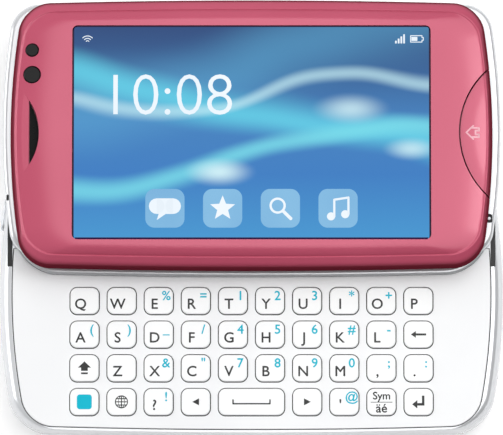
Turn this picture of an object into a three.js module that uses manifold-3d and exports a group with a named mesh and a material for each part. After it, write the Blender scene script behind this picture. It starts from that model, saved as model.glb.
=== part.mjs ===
// Slider phone with a full keyboard, lying on its back and slid open.
// Millimetres, +Z up, X along the long side, +Y the way the upper half slides open.
// The origin is the middle of the open phone's footprint, on the surface it lies on.

import * as THREE from 'three';
import { mergeVertices } from 'three/addons/utils/BufferGeometryUtils.js';
import Module from 'manifold-3d';

const wasm = await Module();
wasm.setup();

// Outlines of the two halves: full size, and the radii of the bowed ends, sides and corners.
// The shell and the cover of the upper half lie inside the base's outline by these steps.
const baseLength = 93;
const baseWidth = 52.8;
const baseEndRadius = 118;
const baseSideRadius = 1400;
const baseCornerRadius = 6.5;
const shellEndStep = 0.55;
const shellSideStep = 2.1;
const shellShift = 1.3;
const shellLength = baseLength - 2 * shellEndStep;
const shellWidth = baseWidth - 2 * shellSideStep;
const shellEndRadius = 125;
const shellSideRadius = 1400;
const shellCornerRadius = 5.5;
const coverEndStep = 2.1;
const coverSideStep = 1.25;
const coverLength = baseLength - 2 * coverEndStep;
const coverWidth = baseWidth - 2 * coverSideStep;
const coverEndRadius = 140;
const coverSideRadius = 1500;
const coverCornerRadius = 5.9;

// Slide: the upper half opens a little past half the phone's width
const slidePast = 2;
const slideTravel = baseWidth / 2 + slidePast;
const slideGap = 0.25;

// Stack of the lower half, from the back cover up
const backHeight = 3;
const backFloor = 1;
const batteryHeight = 4.2;
const batteryGap = 0.3;
const webThickness = 0.6;
const boardThickness = 0.6;
const matThickness = 0.5;
const plateThickness = 0.9;
const layerGap = 0.1;
const seamGap = 0.1;

// Stack of the upper half
const shellHeight = 2.5;
const shellFloor = 0.9;
const railThickness = 0.4;
const shoeHeadHeight = 0.7;
const chassisThickness = 1;
const panelThickness = 2.4;
const windowThickness = 1.75;

// Keyboard: the gaps between its columns and rows, and the margins round it
const columnGap = 1.58;
const rowGap = 1.3;
const keysEndInset = 13.125;
const keyFrontMargin = 2.625;
const keyBackMargin = 2.125;
const keyCornerRadius = 1.6;
const keyTravel = 0.25;
const keyRestGap = 0.1;
const keySkirtHeight = 0.3;
const keySkirtOut = 0.35;
const keyProud = 0.35;
const keyEdge = 0.3;
const keyEdgeDrop = 0.12;
const keyHoleGap = 0.17;

// Levels that follow from the stacks
const batteryBottom = backFloor + batteryGap;
const webBottom = batteryBottom + batteryHeight + batteryGap;
const webTop = webBottom + webThickness;
const boardBottom = webTop + layerGap;
const matBottom = boardBottom + boardThickness + layerGap;
const keyBottom = matBottom + matThickness + keyTravel + keyRestGap;
const skirtTop = keyBottom + keySkirtHeight;
const plateBottom = skirtTop + layerGap;
const plateTop = plateBottom + plateThickness;
const keyTop = plateTop + keyProud;
const frameBottom = backHeight + seamGap;
const shellBottom = keyTop + slideGap;
const shellFloorTop = shellBottom + shellFloor;
const shellTop = shellBottom + shellHeight;
const railBottom = shellFloorTop + layerGap;
const shoeHeadBottom = railBottom + railThickness + layerGap;
const shoeTop = shoeHeadBottom + shoeHeadHeight;
const coverBottom = shellTop + seamGap;
const chassisBottom = coverBottom;
const panelBottom = chassisBottom + chassisThickness + layerGap;
const windowBottom = panelBottom + panelThickness + layerGap;
const windowTop = windowBottom + windowThickness;

// Cuts run this far past the faces that they open
const overrun = 1;

// Steps of the round stretches
const rimSteps = 4;
const keySteps = 3;
const rollSteps = 3;
const discSteps = 20;

// Solids

// A closed three.js geometry as a solid that can be joined and cut
function solidOf(geometry) {
  const bare = geometry.clone();
  bare.deleteAttribute('normal');
  bare.deleteAttribute('uv');
  const merged = mergeVertices(bare);
  const vertProperties = new Float32Array(merged.attributes.position.array);
  const triVerts = new Uint32Array(merged.index.array);
  return new wasm.Manifold(new wasm.Mesh({ numProp: 3, vertProperties, triVerts }));
}

// A solid back as a three.js geometry
function geometryOf(solid) {
  const mesh = solid.getMesh();
  const geometry = new THREE.BufferGeometry();
  geometry.setAttribute('position', new THREE.BufferAttribute(mesh.vertProperties, mesh.numProp));
  geometry.setIndex(new THREE.BufferAttribute(mesh.triVerts, 1));
  geometry.computeVertexNormals();
  return geometry;
}

// A solid skinned over level rings that have equally many points, from the lowest to the highest
function loft(rings) {
  const count = rings[0].points.length;
  const positions = [];
  for (const ring of rings) {
    for (const point of ring.points) {
      positions.push(point.x, point.y, ring.z);
    }
  }
  const index = [];
  for (let level = 0; level < rings.length - 1; level += 1) {
    for (let i = 0; i < count; i += 1) {
      const a = level * count + i;
      const b = level * count + (i + 1) % count;
      index.push(a, b, b + count);
      index.push(a, b + count, a + count);
    }
  }
  const last = (rings.length - 1) * count;
  for (const [a, b, c] of THREE.ShapeUtils.triangulateShape(rings[0].points, [])) {
    index.push(a, c, b);
  }
  for (const [a, b, c] of THREE.ShapeUtils.triangulateShape(rings[rings.length - 1].points, [])) {
    index.push(last + a, last + b, last + c);
  }
  const geometry = new THREE.BufferGeometry();
  geometry.setAttribute('position', new THREE.Float32BufferAttribute(positions, 3));
  geometry.setIndex(index);
  return solidOf(geometry);
}

// An upright prism over one outline
function prism(points, bottom, top) {
  return loft([{ z: bottom, points }, { z: top, points }]);
}

// A box between two corners
function block(x0, x1, y0, y1, z0, z1) {
  const geometry = new THREE.BoxGeometry(x1 - x0, y1 - y0, z1 - z0);
  geometry.translate((x0 + x1) / 2, (y0 + y1) / 2, (z0 + z1) / 2);
  return solidOf(geometry);
}

// An upright disc or post
function post(radius, x, y, bottom, top) {
  const geometry = new THREE.CylinderGeometry(radius, radius, top - bottom, discSteps);
  geometry.rotateX(Math.PI / 2);
  geometry.translate(x, y, (bottom + top) / 2);
  return solidOf(geometry);
}

function joined(solids) {
  return solids.reduce((whole, solid) => whole.add(solid));
}

function cutBy(solid, tools) {
  return solid.subtract(joined(tools));
}

// Outlines

// A bowed outline: two ends and two sides of large radius, and four round corners tangent to them
function rim(length, width, endRadius, sideRadius, cornerRadius) {
  return { halfLength: length / 2, halfWidth: width / 2, endRadius, sideRadius, cornerRadius };
}

// The same outline drawn in at its ends and at its sides
function shrink(outline, endInset, sideInset = endInset) {
  return {
    halfLength: outline.halfLength - endInset,
    halfWidth: outline.halfWidth - sideInset,
    endRadius: outline.endRadius - endInset,
    sideRadius: outline.sideRadius - sideInset,
    cornerRadius: outline.cornerRadius - (endInset + sideInset) / 2,
  };
}

function arc(x, y, radius, start, end, steps) {
  const curve = new THREE.EllipseCurve(x, y, radius, radius, start, end, false, 0);
  return curve.getPoints(steps);
}

// The points of a bowed outline, anticlockwise from the right end. The corner's centre lies where
// the end circle and the side circle, each smaller by the corner radius, cross.
function rimPoints(outline) {
  const { halfLength, halfWidth, endRadius, sideRadius, cornerRadius } = outline;
  const endX = halfLength - endRadius;
  const sideY = halfWidth - sideRadius;
  const toEnd = endRadius - cornerRadius;
  const toSide = sideRadius - cornerRadius;
  const apart = Math.hypot(endX, sideY);
  const along = (toEnd ** 2 - toSide ** 2 + apart ** 2) / (2 * apart);
  const aside = Math.sqrt(toEnd ** 2 - along ** 2);
  const cornerX = endX - (along * endX + aside * sideY) / apart;
  const cornerY = (along * sideY - aside * endX) / apart;
  const endAngle = Math.atan2(cornerY, cornerX - endX);
  const sideAngle = Math.atan2(cornerY - sideY, cornerX);
  const quarter = [
    ...arc(endX, 0, endRadius, 0, endAngle, rimSteps / 2).slice(0, -1),
    ...arc(cornerX, cornerY, cornerRadius, endAngle, sideAngle, rimSteps).slice(0, -1),
    ...arc(0, sideY, sideRadius, sideAngle, Math.PI / 2, rimSteps / 2).slice(0, -1),
  ];
  const turned = quarter.map((point) => new THREE.Vector2(-point.x, -point.y));
  const top = new THREE.Vector2(0, halfWidth);
  const left = new THREE.Vector2(-halfLength, 0);
  const mirrored = quarter.slice(1).reverse().map((point) => new THREE.Vector2(-point.x, point.y));
  const lower = quarter.slice(1).reverse().map((point) => new THREE.Vector2(point.x, -point.y));
  const bottom = new THREE.Vector2(0, -halfWidth);
  return [...quarter, top, ...mirrored, left, ...turned.slice(1), bottom, ...lower];
}

// A rectangle with round corners
function roundedRectangle(width, depth, radius, x, y, steps) {
  const right = width / 2 - radius;
  const back = depth / 2 - radius;
  const quarter = Math.PI / 2;
  return [
    ...arc(x + right, y + back, radius, 0, quarter, steps),
    ...arc(x - right, y + back, radius, quarter, 2 * quarter, steps),
    ...arc(x - right, y - back, radius, 2 * quarter, 3 * quarter, steps),
    ...arc(x + right, y - back, radius, 3 * quarter, 4 * quarter, steps),
  ];
}

// Rings that roll an outline in from upright to level, over a quarter of an ellipse
function rolledRings(outline, endInset, sideInset, bottom, top, steps) {
  const rings = [];
  for (let step = 0; step <= steps; step += 1) {
    const angle = (Math.PI / 2) * (step / steps);
    const share = 1 - Math.cos(angle);
    const points = rimPoints(shrink(outline, endInset * share, sideInset * share));
    rings.push({ z: bottom + (top - bottom) * Math.sin(angle), points });
  }
  return rings;
}

// Finishes

function finish(colour, roughness, metalness) {
  return new THREE.MeshStandardMaterial({ color: colour, roughness, metalness });
}

const pinkPlastic = finish(0xd9667f, 0.28, 0);
const silverPlastic = finish(0xdfe2e6, 0.22, 0.25);
const whitePlastic = finish(0xf3f4f6, 0.35, 0);
const keyPlastic = finish(0xf8f9fa, 0.3, 0);
const darkGlass = finish(0x232a2a, 0.08, 0);
const screenGlass = finish(0x4a86c4, 0.06, 0);
const blackPlastic = finish(0x1b1b1d, 0.5, 0);
const steel = finish(0xaeb2b6, 0.35, 0.9);
const boardGreen = finish(0x1f5a3c, 0.6, 0);
const matRubber = finish(0xe9e9e6, 0.7, 0);
const cellWrap = finish(0x3c3f44, 0.6, 0);

function named(name, solid, material) {
  const mesh = new THREE.Mesh(geometryOf(solid), material);
  mesh.name = name;
  return mesh;
}

const baseRim = rim(baseLength, baseWidth, baseEndRadius, baseSideRadius, baseCornerRadius);
const shellRim = rim(shellLength, shellWidth, shellEndRadius, shellSideRadius, shellCornerRadius);
const coverRim = rim(coverLength, coverWidth, coverEndRadius, coverSideRadius, coverCornerRadius);

// Lower half

// The places of the lower half count from the middle of its outline
const padShow = 0.4;
const padFront = slideTravel - coverWidth / 2 - padShow;
const plateUnderlap = 5.15;
const plateRear = padFront + plateUnderlap;
const plateEndInset = 2.35;
const plateSideInset = 0.75;
const plateLedge = 0.8;
const bayEndWall = 3.6;
const baySideWall = 2;
const dividerWidth = 1;
const deckDrop = 0.9;
const deckThickness = 0.9;
const deckFront = plateRear + dividerWidth;
const deckTop = plateTop - deckDrop;
const deckBottom = deckTop - deckThickness;

// The display and the hollow that holds it, inside the cover's outline
const openingEndBorder = 11.4;
const openingSideBorder = 5.2;
const openingLength = coverLength - 2 * openingEndBorder;
const openingWidth = coverWidth - 2 * openingSideBorder;
const panelEndBorder = 4.2;
const panelSideBorder = 2.05;
const cavityHalfLength = openingLength / 2 + panelEndBorder;
const cavityHalfWidth = openingWidth / 2 + panelSideBorder;
const postRadius = 1.2;
const postX = cavityHalfLength - 1.5 * postRadius;
const postY = cavityHalfWidth - 2 * postRadius;
const railEdgeGap = 0.8;
const railHalfLength = postX - postRadius - railEdgeGap / 2;

// How far an outline's side and end reach at a place along them
function sideReach(outline, x) {
  return outline.halfWidth - outline.sideRadius + Math.sqrt(outline.sideRadius ** 2 - x ** 2);
}

function endReach(outline, y) {
  return outline.halfLength - outline.endRadius + Math.sqrt(outline.endRadius ** 2 - y ** 2);
}

// The part of a prism in front of, or behind, a line across the phone
function inFrontOf(solid, y) {
  return solid.intersect(block(-baseLength, baseLength, -baseWidth, y, -baseLength, baseLength));
}

function behind(solid, y) {
  return solid.intersect(block(-baseLength, baseLength, y, baseWidth, -baseLength, baseLength));
}

// Camera and loudspeaker, which look out through the back cover
const cameraEndInset = 12.5;
const cameraX = cameraEndInset - baseLength / 2;
const cameraBarrelRadius = 3.45;
const cameraBody = 8.6;
const cameraRecess = 0.3;
const cameraBodyRise = 2.2;
const speakerEndInset = 15.5;
const speakerX = baseLength / 2 - speakerEndInset;
const speakerLength = 14;
const speakerWidth = 9;
const speakerHeight = 3.5;
const speakerSlots = 4;
const speakerSlotLength = 7;
const speakerSlotWidth = 0.9;
const speakerSlotPitch = 2.2;
const shoeInset = 4;
const shoeX = railHalfLength - shoeInset;
const bracketReach = 6;
const bracketLength = 2 * (shoeX + bracketReach);
const deckRear = sideReach(shrink(baseRim, bayEndWall, baySideWall), bracketLength / 2);
const deckMiddle = (deckFront + deckRear) / 2;
const shoeDeckGap = 2.5;
const shoeLength = deckRear - deckFront - 2 * shoeDeckGap;
const partGap = 0.3;

// Back cover: a shallow dish with a rolled edge
const backRoll = 3;
const backWall = 2.4;

function backCover() {
  const rings = rolledRings(baseRim, backRoll, backRoll, backHeight, 0, rollSteps).reverse();
  const hollow = prism(rimPoints(shrink(baseRim, backWall)), backFloor, backHeight + overrun);
  const cameraHole = post(cameraBarrelRadius + partGap, cameraX, deckMiddle, -overrun, backHeight);
  const tools = [hollow, cameraHole];
  for (let i = 0; i < speakerSlots; i += 1) {
    const x = speakerX + (i - (speakerSlots - 1) / 2) * speakerSlotPitch;
    const left = x - speakerSlotWidth / 2;
    const front = deckMiddle - speakerSlotLength / 2;
    const rear = deckMiddle + speakerSlotLength / 2;
    tools.push(block(left, left + speakerSlotWidth, front, rear, -overrun, backHeight));
  }
  return cutBy(loft(rings), tools);
}

function cameraModule() {
  const bodyBottom = backFloor + cameraBodyRise;
  const half = cameraBody / 2;
  const barrel = post(cameraBarrelRadius, cameraX, deckMiddle, cameraRecess, bodyBottom + overrun);
  const body = block(cameraX - half, cameraX + half, deckMiddle - half, deckMiddle + half,
    bodyBottom, deckBottom - partGap);
  return barrel.add(body);
}

function loudspeaker() {
  const bottom = backFloor + partGap;
  return block(speakerX - speakerLength / 2, speakerX + speakerLength / 2,
    deckMiddle - speakerWidth / 2, deckMiddle + speakerWidth / 2, bottom, bottom + speakerHeight);
}

// Battery: a flat cell between the back cover and the frame's web
const batteryEndGap = 19;
const batterySideGap = 1.5;
const batteryCornerRadius = 2;

function battery() {
  const batteryLength = baseLength - 2 * (backWall + batteryEndGap);
  const rear = deckFront - partGap;
  const front = backWall + batterySideGap - baseRim.halfWidth;
  const batteryWidth = rear - front;
  const y = (rear + front) / 2;
  const outline = roundedRectangle(batteryLength, batteryWidth, batteryCornerRadius, 0, y, keySteps);
  return prism(outline, batteryBottom, batteryBottom + batteryHeight);
}

// Side keys: a cap that stands through the frame's wall and a flange that keeps it in
const sideKeyHeight = 2.6;
const sideKeyMiddle = 5.1;
const sideKeyProud = 0.45;
const sideKeyFit = 0.15;
const sideKeyFlange = 0.6;
const sideKeyFlangeOut = 0.5;
const sideKeyFlangeGap = 0.45;
const sideKeyEdge = 0.4;
const frameWall = 1.5;
const volumeEndInset = 26.5;
const volumeX = volumeEndInset - baseLength / 2;
const volumeLength = 18;
const cameraKeyEndInset = 18.5;
const cameraKeyX = baseLength / 2 - cameraKeyEndInset;
const cameraKeyLength = 9;
const powerKeyShift = 1.2;
const powerKeyY = deckMiddle - powerKeyShift;
const powerKeyLength = 6;

// A side key that looks along +Y, with its outer face at the given reach
function sideKey(length, reach) {
  const inner = reach - frameWall - sideKeyFlangeGap;
  const outer = reach + sideKeyProud;
  const half = length / 2;
  const bottom = sideKeyMiddle - sideKeyHeight / 2;
  const top = sideKeyMiddle + sideKeyHeight / 2;
  const cap = loft([
    { z: inner, points: roundedRectangle(length, sideKeyHeight, sideKeyEdge, 0, 0, keySteps) },
    { z: outer, points: roundedRectangle(length - sideKeyEdge, sideKeyHeight - sideKeyEdge,
      sideKeyEdge, 0, 0, keySteps) },
  ]).rotate([-90, 0, 0]).translate([0, 0, sideKeyMiddle]);
  const flange = block(-half - sideKeyFlangeOut, half + sideKeyFlangeOut,
    inner - sideKeyFlange, inner, bottom - sideKeyFlangeOut, top + sideKeyFlangeOut);
  return cap.add(flange);
}

// The window for it in the wall
function sideWindow(length, reach) {
  const half = length / 2 + sideKeyFit;
  const rise = sideKeyHeight / 2 + sideKeyFit;
  return block(-half, half, reach - frameWall - overrun, reach + overrun,
    sideKeyMiddle - rise, sideKeyMiddle + rise);
}

const rearReach = (x) => sideReach(baseRim, x);
const leftReach = (y) => endReach(baseRim, y);

// Turns a key that looks along +Y about the left end's centre, square to the bowed wall there
function onLeftEnd(solid) {
  const turn = THREE.MathUtils.radToDeg(Math.asin(powerKeyY / baseEndRadius));
  return solid.rotate([0, 0, 90 - turn]).translate([baseEndRadius - baseRim.halfLength, 0, 0]);
}

// Base frame: the silver middle frame, with a web that parts the battery from the main board
const frameEndRoll = 2.2;
const frameSideRoll = 0.25;
const frameRollHeight = 3.3;
const grooveFront = 4.7;
const grooveWidth = 0.9;
const grooveDepth = 1.2;
const jackRadius = 1.75;
const jackY = -12;
const chargerWidth = 7.4;
const chargerHeight = 1.9;
const chargerY = -12;

function baseFrame() {
  const rings = [
    { z: frameBottom, points: rimPoints(baseRim) },
    ...rolledRings(baseRim, frameEndRoll, frameSideRoll, plateTop - frameRollHeight, plateTop,
      rollSteps),
  ];
  const above = plateTop + overrun;
  const walls = rimPoints(shrink(baseRim, frameWall));
  const bay = rimPoints(shrink(baseRim, bayEndWall, baySideWall));
  const seatOutline = shrink(baseRim, plateEndInset - seamGap, plateSideInset - seamGap);
  const batteryBay = prism(walls, frameBottom - overrun, webBottom);
  const partsBay = behind(prism(walls, webBottom - overrun, deckBottom), deckFront);
  const boardBay = inFrontOf(prism(bay, webTop, above), plateRear - plateLedge);
  const plateSeat = inFrontOf(prism(rimPoints(seatOutline), plateBottom - layerGap, above),
    plateRear + seamGap);
  const deckRecess = behind(prism(bay, deckTop, above), deckFront);
  const grooveOut = baseRim.halfLength - plateEndInset + grooveWidth;
  const grooveIn = grooveOut - grooveWidth - seamGap;
  const grooveRear = deckMiddle;
  const jack = new THREE.CylinderGeometry(jackRadius, jackRadius, 2 * frameWall, discSteps);
  jack.rotateZ(Math.PI / 2);
  jack.translate(-leftReach(jackY), jackY, sideKeyMiddle);
  const charger = block(leftReach(chargerY) - frameWall - overrun, leftReach(chargerY) + overrun,
    chargerY - chargerWidth / 2, chargerY + chargerWidth / 2,
    sideKeyMiddle - chargerHeight / 2, sideKeyMiddle + chargerHeight / 2);
  return cutBy(loft(rings), [
    batteryBay,
    partsBay,
    boardBay,
    plateSeat,
    deckRecess,
    block(grooveIn, grooveOut, grooveFront, grooveRear, plateTop - grooveDepth, above),
    block(-grooveOut, -grooveIn, grooveFront, grooveRear, plateTop - grooveDepth, above),
    solidOf(jack),
    charger,
    sideWindow(volumeLength, rearReach(volumeX)).translate([volumeX, 0, 0]),
    sideWindow(cameraKeyLength, rearReach(cameraKeyX)).translate([cameraKeyX, 0, 0]),
    onLeftEnd(sideWindow(powerKeyLength, baseEndRadius)),
  ]);
}

// Main board and keypad mat: they lie in the bay under the keyboard
function baySheet(bottom, thickness) {
  const outline = rimPoints(shrink(baseRim, bayEndWall + partGap, baySideWall + partGap));
  return inFrontOf(prism(outline, bottom, bottom + thickness), plateRear - plateLedge - partGap);
}

// Keyboard: four rows of keys in a plate, with the space key two columns wide
const keyRows = [
  ['q', 'w', 'e', 'r', 't', 'y', 'u', 'i', 'o', 'p'],
  ['a', 's', 'd', 'f', 'g', 'h', 'j', 'k', 'l', 'backspace'],
  ['shift', 'z', 'x', 'c', 'v', 'b', 'n', 'm', 'comma', 'period'],
  ['shortcut', 'language', 'question', 'left', 'space', 'right', 'apostrophe', 'sym', 'enter'],
];
const keyColumns = keyRows[0].length;

// The columns share the phone's length, and the rows the depth from the plate's front edge to the pad
const keyPitch = (baseLength - 2 * keysEndInset + columnGap) / keyColumns;
const keyWidth = keyPitch - columnGap;
const keysFront = keyFrontMargin + plateSideInset - baseRim.halfWidth;
const keysBack = padFront - keyBackMargin;
const rowPitch = (keysBack - keysFront + rowGap) / keyRows.length;
const keyDepth = rowPitch - rowGap;

function keyPlaces() {
  const places = [];
  keyRows.forEach((row, rowNumber) => {
    let column = 0;
    for (const name of row) {
      const columns = name === 'space' ? 2 : 1;
      const x = (column + (columns - keyColumns) / 2) * keyPitch;
      const y = keysBack - keyDepth / 2 - rowNumber * rowPitch;
      const width = keyWidth + (columns - 1) * keyPitch;
      places.push({ name: `key_${name}`, x, y, width });
      column += columns;
    }
  });
  return places;
}

function keyOutline(place, grow) {
  return roundedRectangle(place.width + 2 * grow, keyDepth + 2 * grow, keyCornerRadius + grow,
    place.x, place.y, keySteps);
}

function keyCap(place) {
  return loft([
    { z: keyBottom, points: keyOutline(place, keySkirtOut) },
    { z: skirtTop, points: keyOutline(place, 0) },
    { z: keyTop - keyEdgeDrop, points: keyOutline(place, 0) },
    { z: keyTop, points: keyOutline(place, -keyEdge) },
  ]);
}

// Behind the keys the plate has a raised pad, whose front follows the open upper half's outline
const padLength = 87.9;
const padCornerRadius = 6.8;
const padHeight = 0.4;
const padEdge = 0.5;

function keyboardPlate() {
  const outline = rimPoints(shrink(baseRim, plateEndInset, plateSideInset));
  const padRim = rim(padLength, coverWidth + 2 * padShow, coverEndRadius, coverSideRadius,
    padCornerRadius);
  const padTop = plateTop + padHeight;
  const pad = loft([
    { z: plateBottom, points: rimPoints(padRim) },
    { z: plateTop, points: rimPoints(padRim) },
    { z: padTop, points: rimPoints(shrink(padRim, padEdge)) },
  ]).translate([0, slideTravel, 0]).intersect(prism(outline, plateBottom, padTop + overrun));
  const plate = inFrontOf(prism(outline, plateBottom, plateTop).add(pad), plateRear);
  const holes = keyPlaces().map((place) => prism(keyOutline(place, keyHoleGap),
    plateBottom - overrun, plateTop + overrun));
  return cutBy(plate, holes);
}

// Slide bracket: a steel plate on the frame's deck with two T-shaped shoes
const bracketThickness = 0.5;
const bracketGap = 0.4;
const shoeStemWidth = 3;
const shoeHeadWidth = 5.6;

function slideBracket() {
  const front = deckFront + bracketGap;
  const rear = 2 * deckMiddle - front;
  const bottom = deckTop + layerGap;
  const y0 = deckMiddle - shoeLength / 2;
  const y1 = deckMiddle + shoeLength / 2;
  const pieces = [
    block(-bracketLength / 2, bracketLength / 2, front, rear, bottom, bottom + bracketThickness),
  ];
  for (const x of [-shoeX, shoeX]) {
    pieces.push(block(x - shoeStemWidth / 2, x + shoeStemWidth / 2, y0, y1,
      bottom, shoeHeadBottom + shoeHeadHeight / 2));
    pieces.push(block(x - shoeHeadWidth / 2, x + shoeHeadWidth / 2, y0, y1,
      shoeHeadBottom, shoeTop));
  }
  return joined(pieces);
}

// Upper half

// The places of the upper half count from the middle of its outline
const shellEndWall = 3;
const shellSideWall = 1.6;
const shellRoll = 1.6;
const shellRollHeight = 1.8;
const shellLip = 0.15;
const slotGap = 0.6;
const railGap = 0.2;
const slotFront = deckMiddle - shoeLength / 2 - slideTravel - slotGap;
const slotRear = deckMiddle + shoeLength / 2 + slotGap;
const cavityCornerRadius = 1.5;

// The two slots that the shoes' stems run in, wider than the stem by the gap on each side
function shoeSlots(gap, bottom, top) {
  const half = shoeStemWidth / 2 + gap;
  return [-shoeX, shoeX].map((x) => block(x - half, x + half, slotFront, slotRear, bottom, top));
}

// Slider shell: the silver tray under the upper half, with four posts for the chassis
function sliderShell() {
  const rollTop = shellBottom + shellRollHeight;
  const rings = [
    ...rolledRings(shellRim, shellRoll, shellRoll, rollTop, shellBottom, rollSteps).reverse(),
    { z: shellTop, points: rimPoints(shrink(shellRim, shellLip)) },
  ];
  const hollow = prism(rimPoints(shrink(shellRim, shellEndWall, shellSideWall)),
    shellFloorTop, shellTop + overrun);
  const slots = shoeSlots(slotGap, shellBottom - overrun, shellFloorTop + overrun);
  const posts = [];
  for (const x of [-postX, postX]) {
    for (const y of [-postY, postY]) {
      posts.push(post(postRadius, x, y, shellFloorTop - shellFloor / 2, chassisBottom - layerGap));
    }
  }
  const tray = loft(rings).subtract(hollow).translate([0, shellShift, 0]);
  return joined([cutBy(tray, slots), ...posts]);
}

// Slide rail: the slotted steel plate that the shoes' heads hold down
function slideRail() {
  const halfWidth = shellRim.halfWidth - shellSideWall - railEdgeGap;
  const plate = block(-railHalfLength, railHalfLength, shellShift - halfWidth,
    shellShift + halfWidth, railBottom, railBottom + railThickness);
  return cutBy(plate, shoeSlots(railGap, railBottom - overrun, shoeHeadBottom + overrun));
}

// Display: chassis, panel and the touch window over it
const chassisGap = 0.4;
const panelInset = 2;
const openingCornerRadius = 1;
const windowGap = 0.15;
const windowEdge = 0.2;

function displayChassis() {
  const outline = roundedRectangle(2 * (cavityHalfLength - chassisGap),
    2 * (cavityHalfWidth - chassisGap), cavityCornerRadius, 0, 0, keySteps);
  return prism(outline, chassisBottom, chassisBottom + chassisThickness);
}

function displayPanel() {
  const halfLength = cavityHalfLength - panelInset;
  const halfWidth = cavityHalfWidth - chassisGap;
  return block(-halfLength, halfLength, -halfWidth, halfWidth,
    panelBottom, panelBottom + panelThickness);
}

function touchWindow() {
  const outline = (inset) => roundedRectangle(openingLength - 2 * inset,
    openingWidth - 2 * inset, openingCornerRadius, 0, 0, keySteps);
  return loft([
    { z: windowBottom, points: outline(windowGap) },
    { z: windowTop - windowEdge, points: outline(windowGap) },
    { z: windowTop, points: outline(windowGap + windowEdge) },
  ]);
}

// Front cover: its wall rolls in to a crest, dips into a scoop and rises to the flat face
const coverFootHeight = 1.1;
const coverFootInset = 0.3;
const crestHeight = 4.9;
const crestEndInset = 1.05;
const crestSideInset = 1.85;
const scoopDepth = 0.3;
const scoopWidth = 0.75;
const faceEndInset = 7.3;
const faceSideInset = 3.9;
const faceRiseShare = 0.62;
const faceMiddleShare = 0.45;
const windowProud = 0.05;

function coverBlank() {
  const wallTop = coverBottom + coverFootHeight;
  const crestTop = coverBottom + crestHeight;
  const scoopZ = crestTop - scoopDepth;
  const faceZ = windowTop - windowProud;
  const scoopEnd = crestEndInset + scoopWidth;
  const scoopSide = crestSideInset + scoopWidth;
  const middleEnd = scoopEnd + (faceEndInset - scoopEnd) * faceMiddleShare;
  const middleSide = scoopSide + (faceSideInset - scoopSide) * faceMiddleShare;
  return loft([
    { z: coverBottom, points: rimPoints(shrink(coverRim, coverFootInset)) },
    ...rolledRings(coverRim, crestEndInset, crestSideInset, wallTop, crestTop, rollSteps),
    { z: scoopZ, points: rimPoints(shrink(coverRim, scoopEnd, scoopSide)) },
    { z: scoopZ + (faceZ - scoopZ) * faceRiseShare,
      points: rimPoints(shrink(coverRim, middleEnd, middleSide)) },
    { z: faceZ, points: rimPoints(shrink(coverRim, faceEndInset, faceSideInset)) },
  ]);
}

// Home key: the part of the cover's end inside a round-cornered arc, which presses down
const homeReach = 6;
const homeLeft = coverRim.halfLength - homeReach;
const homeRadius = 15.8;
const homeFloorHeight = 2;
const homeBottom = coverBottom + homeFloorHeight;
const homeGap = 0.18;
const homeTravel = 0.25;
const homeSteps = 48;

function homeLens(grow, bottom) {
  const geometry = new THREE.CylinderGeometry(homeRadius + grow, homeRadius + grow,
    windowTop - bottom + overrun, homeSteps);
  geometry.rotateX(Math.PI / 2);
  geometry.translate(homeLeft + homeRadius, 0, (windowTop + bottom + overrun) / 2);
  return solidOf(geometry);
}

function homeKey() {
  return coverBlank().intersect(homeLens(0, homeBottom));
}

// Earpiece: a crescent recess at the left end with a slot to the hollow behind it
const earRightInset = 5.3;
const earLeftInset = 2.4;
const earRight = earRightInset - coverRim.halfLength;
const earLeft = earLeftInset - coverRim.halfLength;
const earRadius = 10.7;
const earHalfLength = Math.sqrt(earRadius ** 2 - (earRadius - earRight + earLeft) ** 2);
const earDepth = 1.4;
const earSlotInset = 0.6;
const grilleGap = 0.12;
const grilleThickness = 0.4;
const earFloor = coverBottom + crestHeight - earDepth;

function earCrescent(inset, bottom, top) {
  const geometry = new THREE.CylinderGeometry(earRadius - inset, earRadius - inset,
    top - bottom, homeSteps);
  geometry.rotateX(Math.PI / 2);
  geometry.translate(earRight - earRadius, 0, (bottom + top) / 2);
  const half = block(earLeft + inset, 0, -coverWidth, coverWidth, bottom, top);
  return solidOf(geometry).intersect(half);
}

function earpieceGrille() {
  return earCrescent(grilleGap, earFloor + layerGap, earFloor + layerGap + grilleThickness);
}

// Sensor window: two round lenses that stand on one web
const sensorEndInset = 4;
const sensorX = sensorEndInset - coverRim.halfLength;
const sensorEarGap = 1.93;
const sensorSpacing = 4.6;
const smallSensorRadius = 1.18;
const largeSensorRadius = 1.55;
const largeSensorY = earHalfLength + sensorEarGap + largeSensorRadius;
const sensors = [
  { y: largeSensorY + sensorSpacing, radius: smallSensorRadius },
  { y: largeSensorY, radius: largeSensorRadius },
];
const sensorGap = 0.1;
const sensorSink = 0.5;
const sensorTop = windowTop - sensorSink;
const sensorWebWidth = 2.6;
const sensorWebThickness = 0.7;
const sensorWebOut = 0.6;
const hollowEndInset = 2;
const hollowWidth = 4;
const hollowLeft = hollowEndInset - coverRim.halfLength;
const hollowRight = hollowLeft + hollowWidth;
const hollowPlay = 0.8;
const hollowFront = -earHalfLength;
const hollowRear = sensors[0].y + sensors[0].radius + sensorWebOut + hollowPlay;
const hollowTop = earFloor - 0.5 * layerGap;

function sensorWindow() {
  const webTop = hollowTop - partGap;
  const webBottom = webTop - sensorWebThickness;
  const front = sensors[1].y - sensors[1].radius - sensorWebOut;
  const rear = sensors[0].y + sensors[0].radius + sensorWebOut;
  const web = block(sensorX - sensorWebWidth / 2, sensorX + sensorWebWidth / 2, front, rear,
    webBottom, webTop);
  const lenses = sensors.map(({ y, radius }) => post(radius, sensorX, y, webBottom, sensorTop));
  return joined([web, ...lenses]);
}

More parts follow.
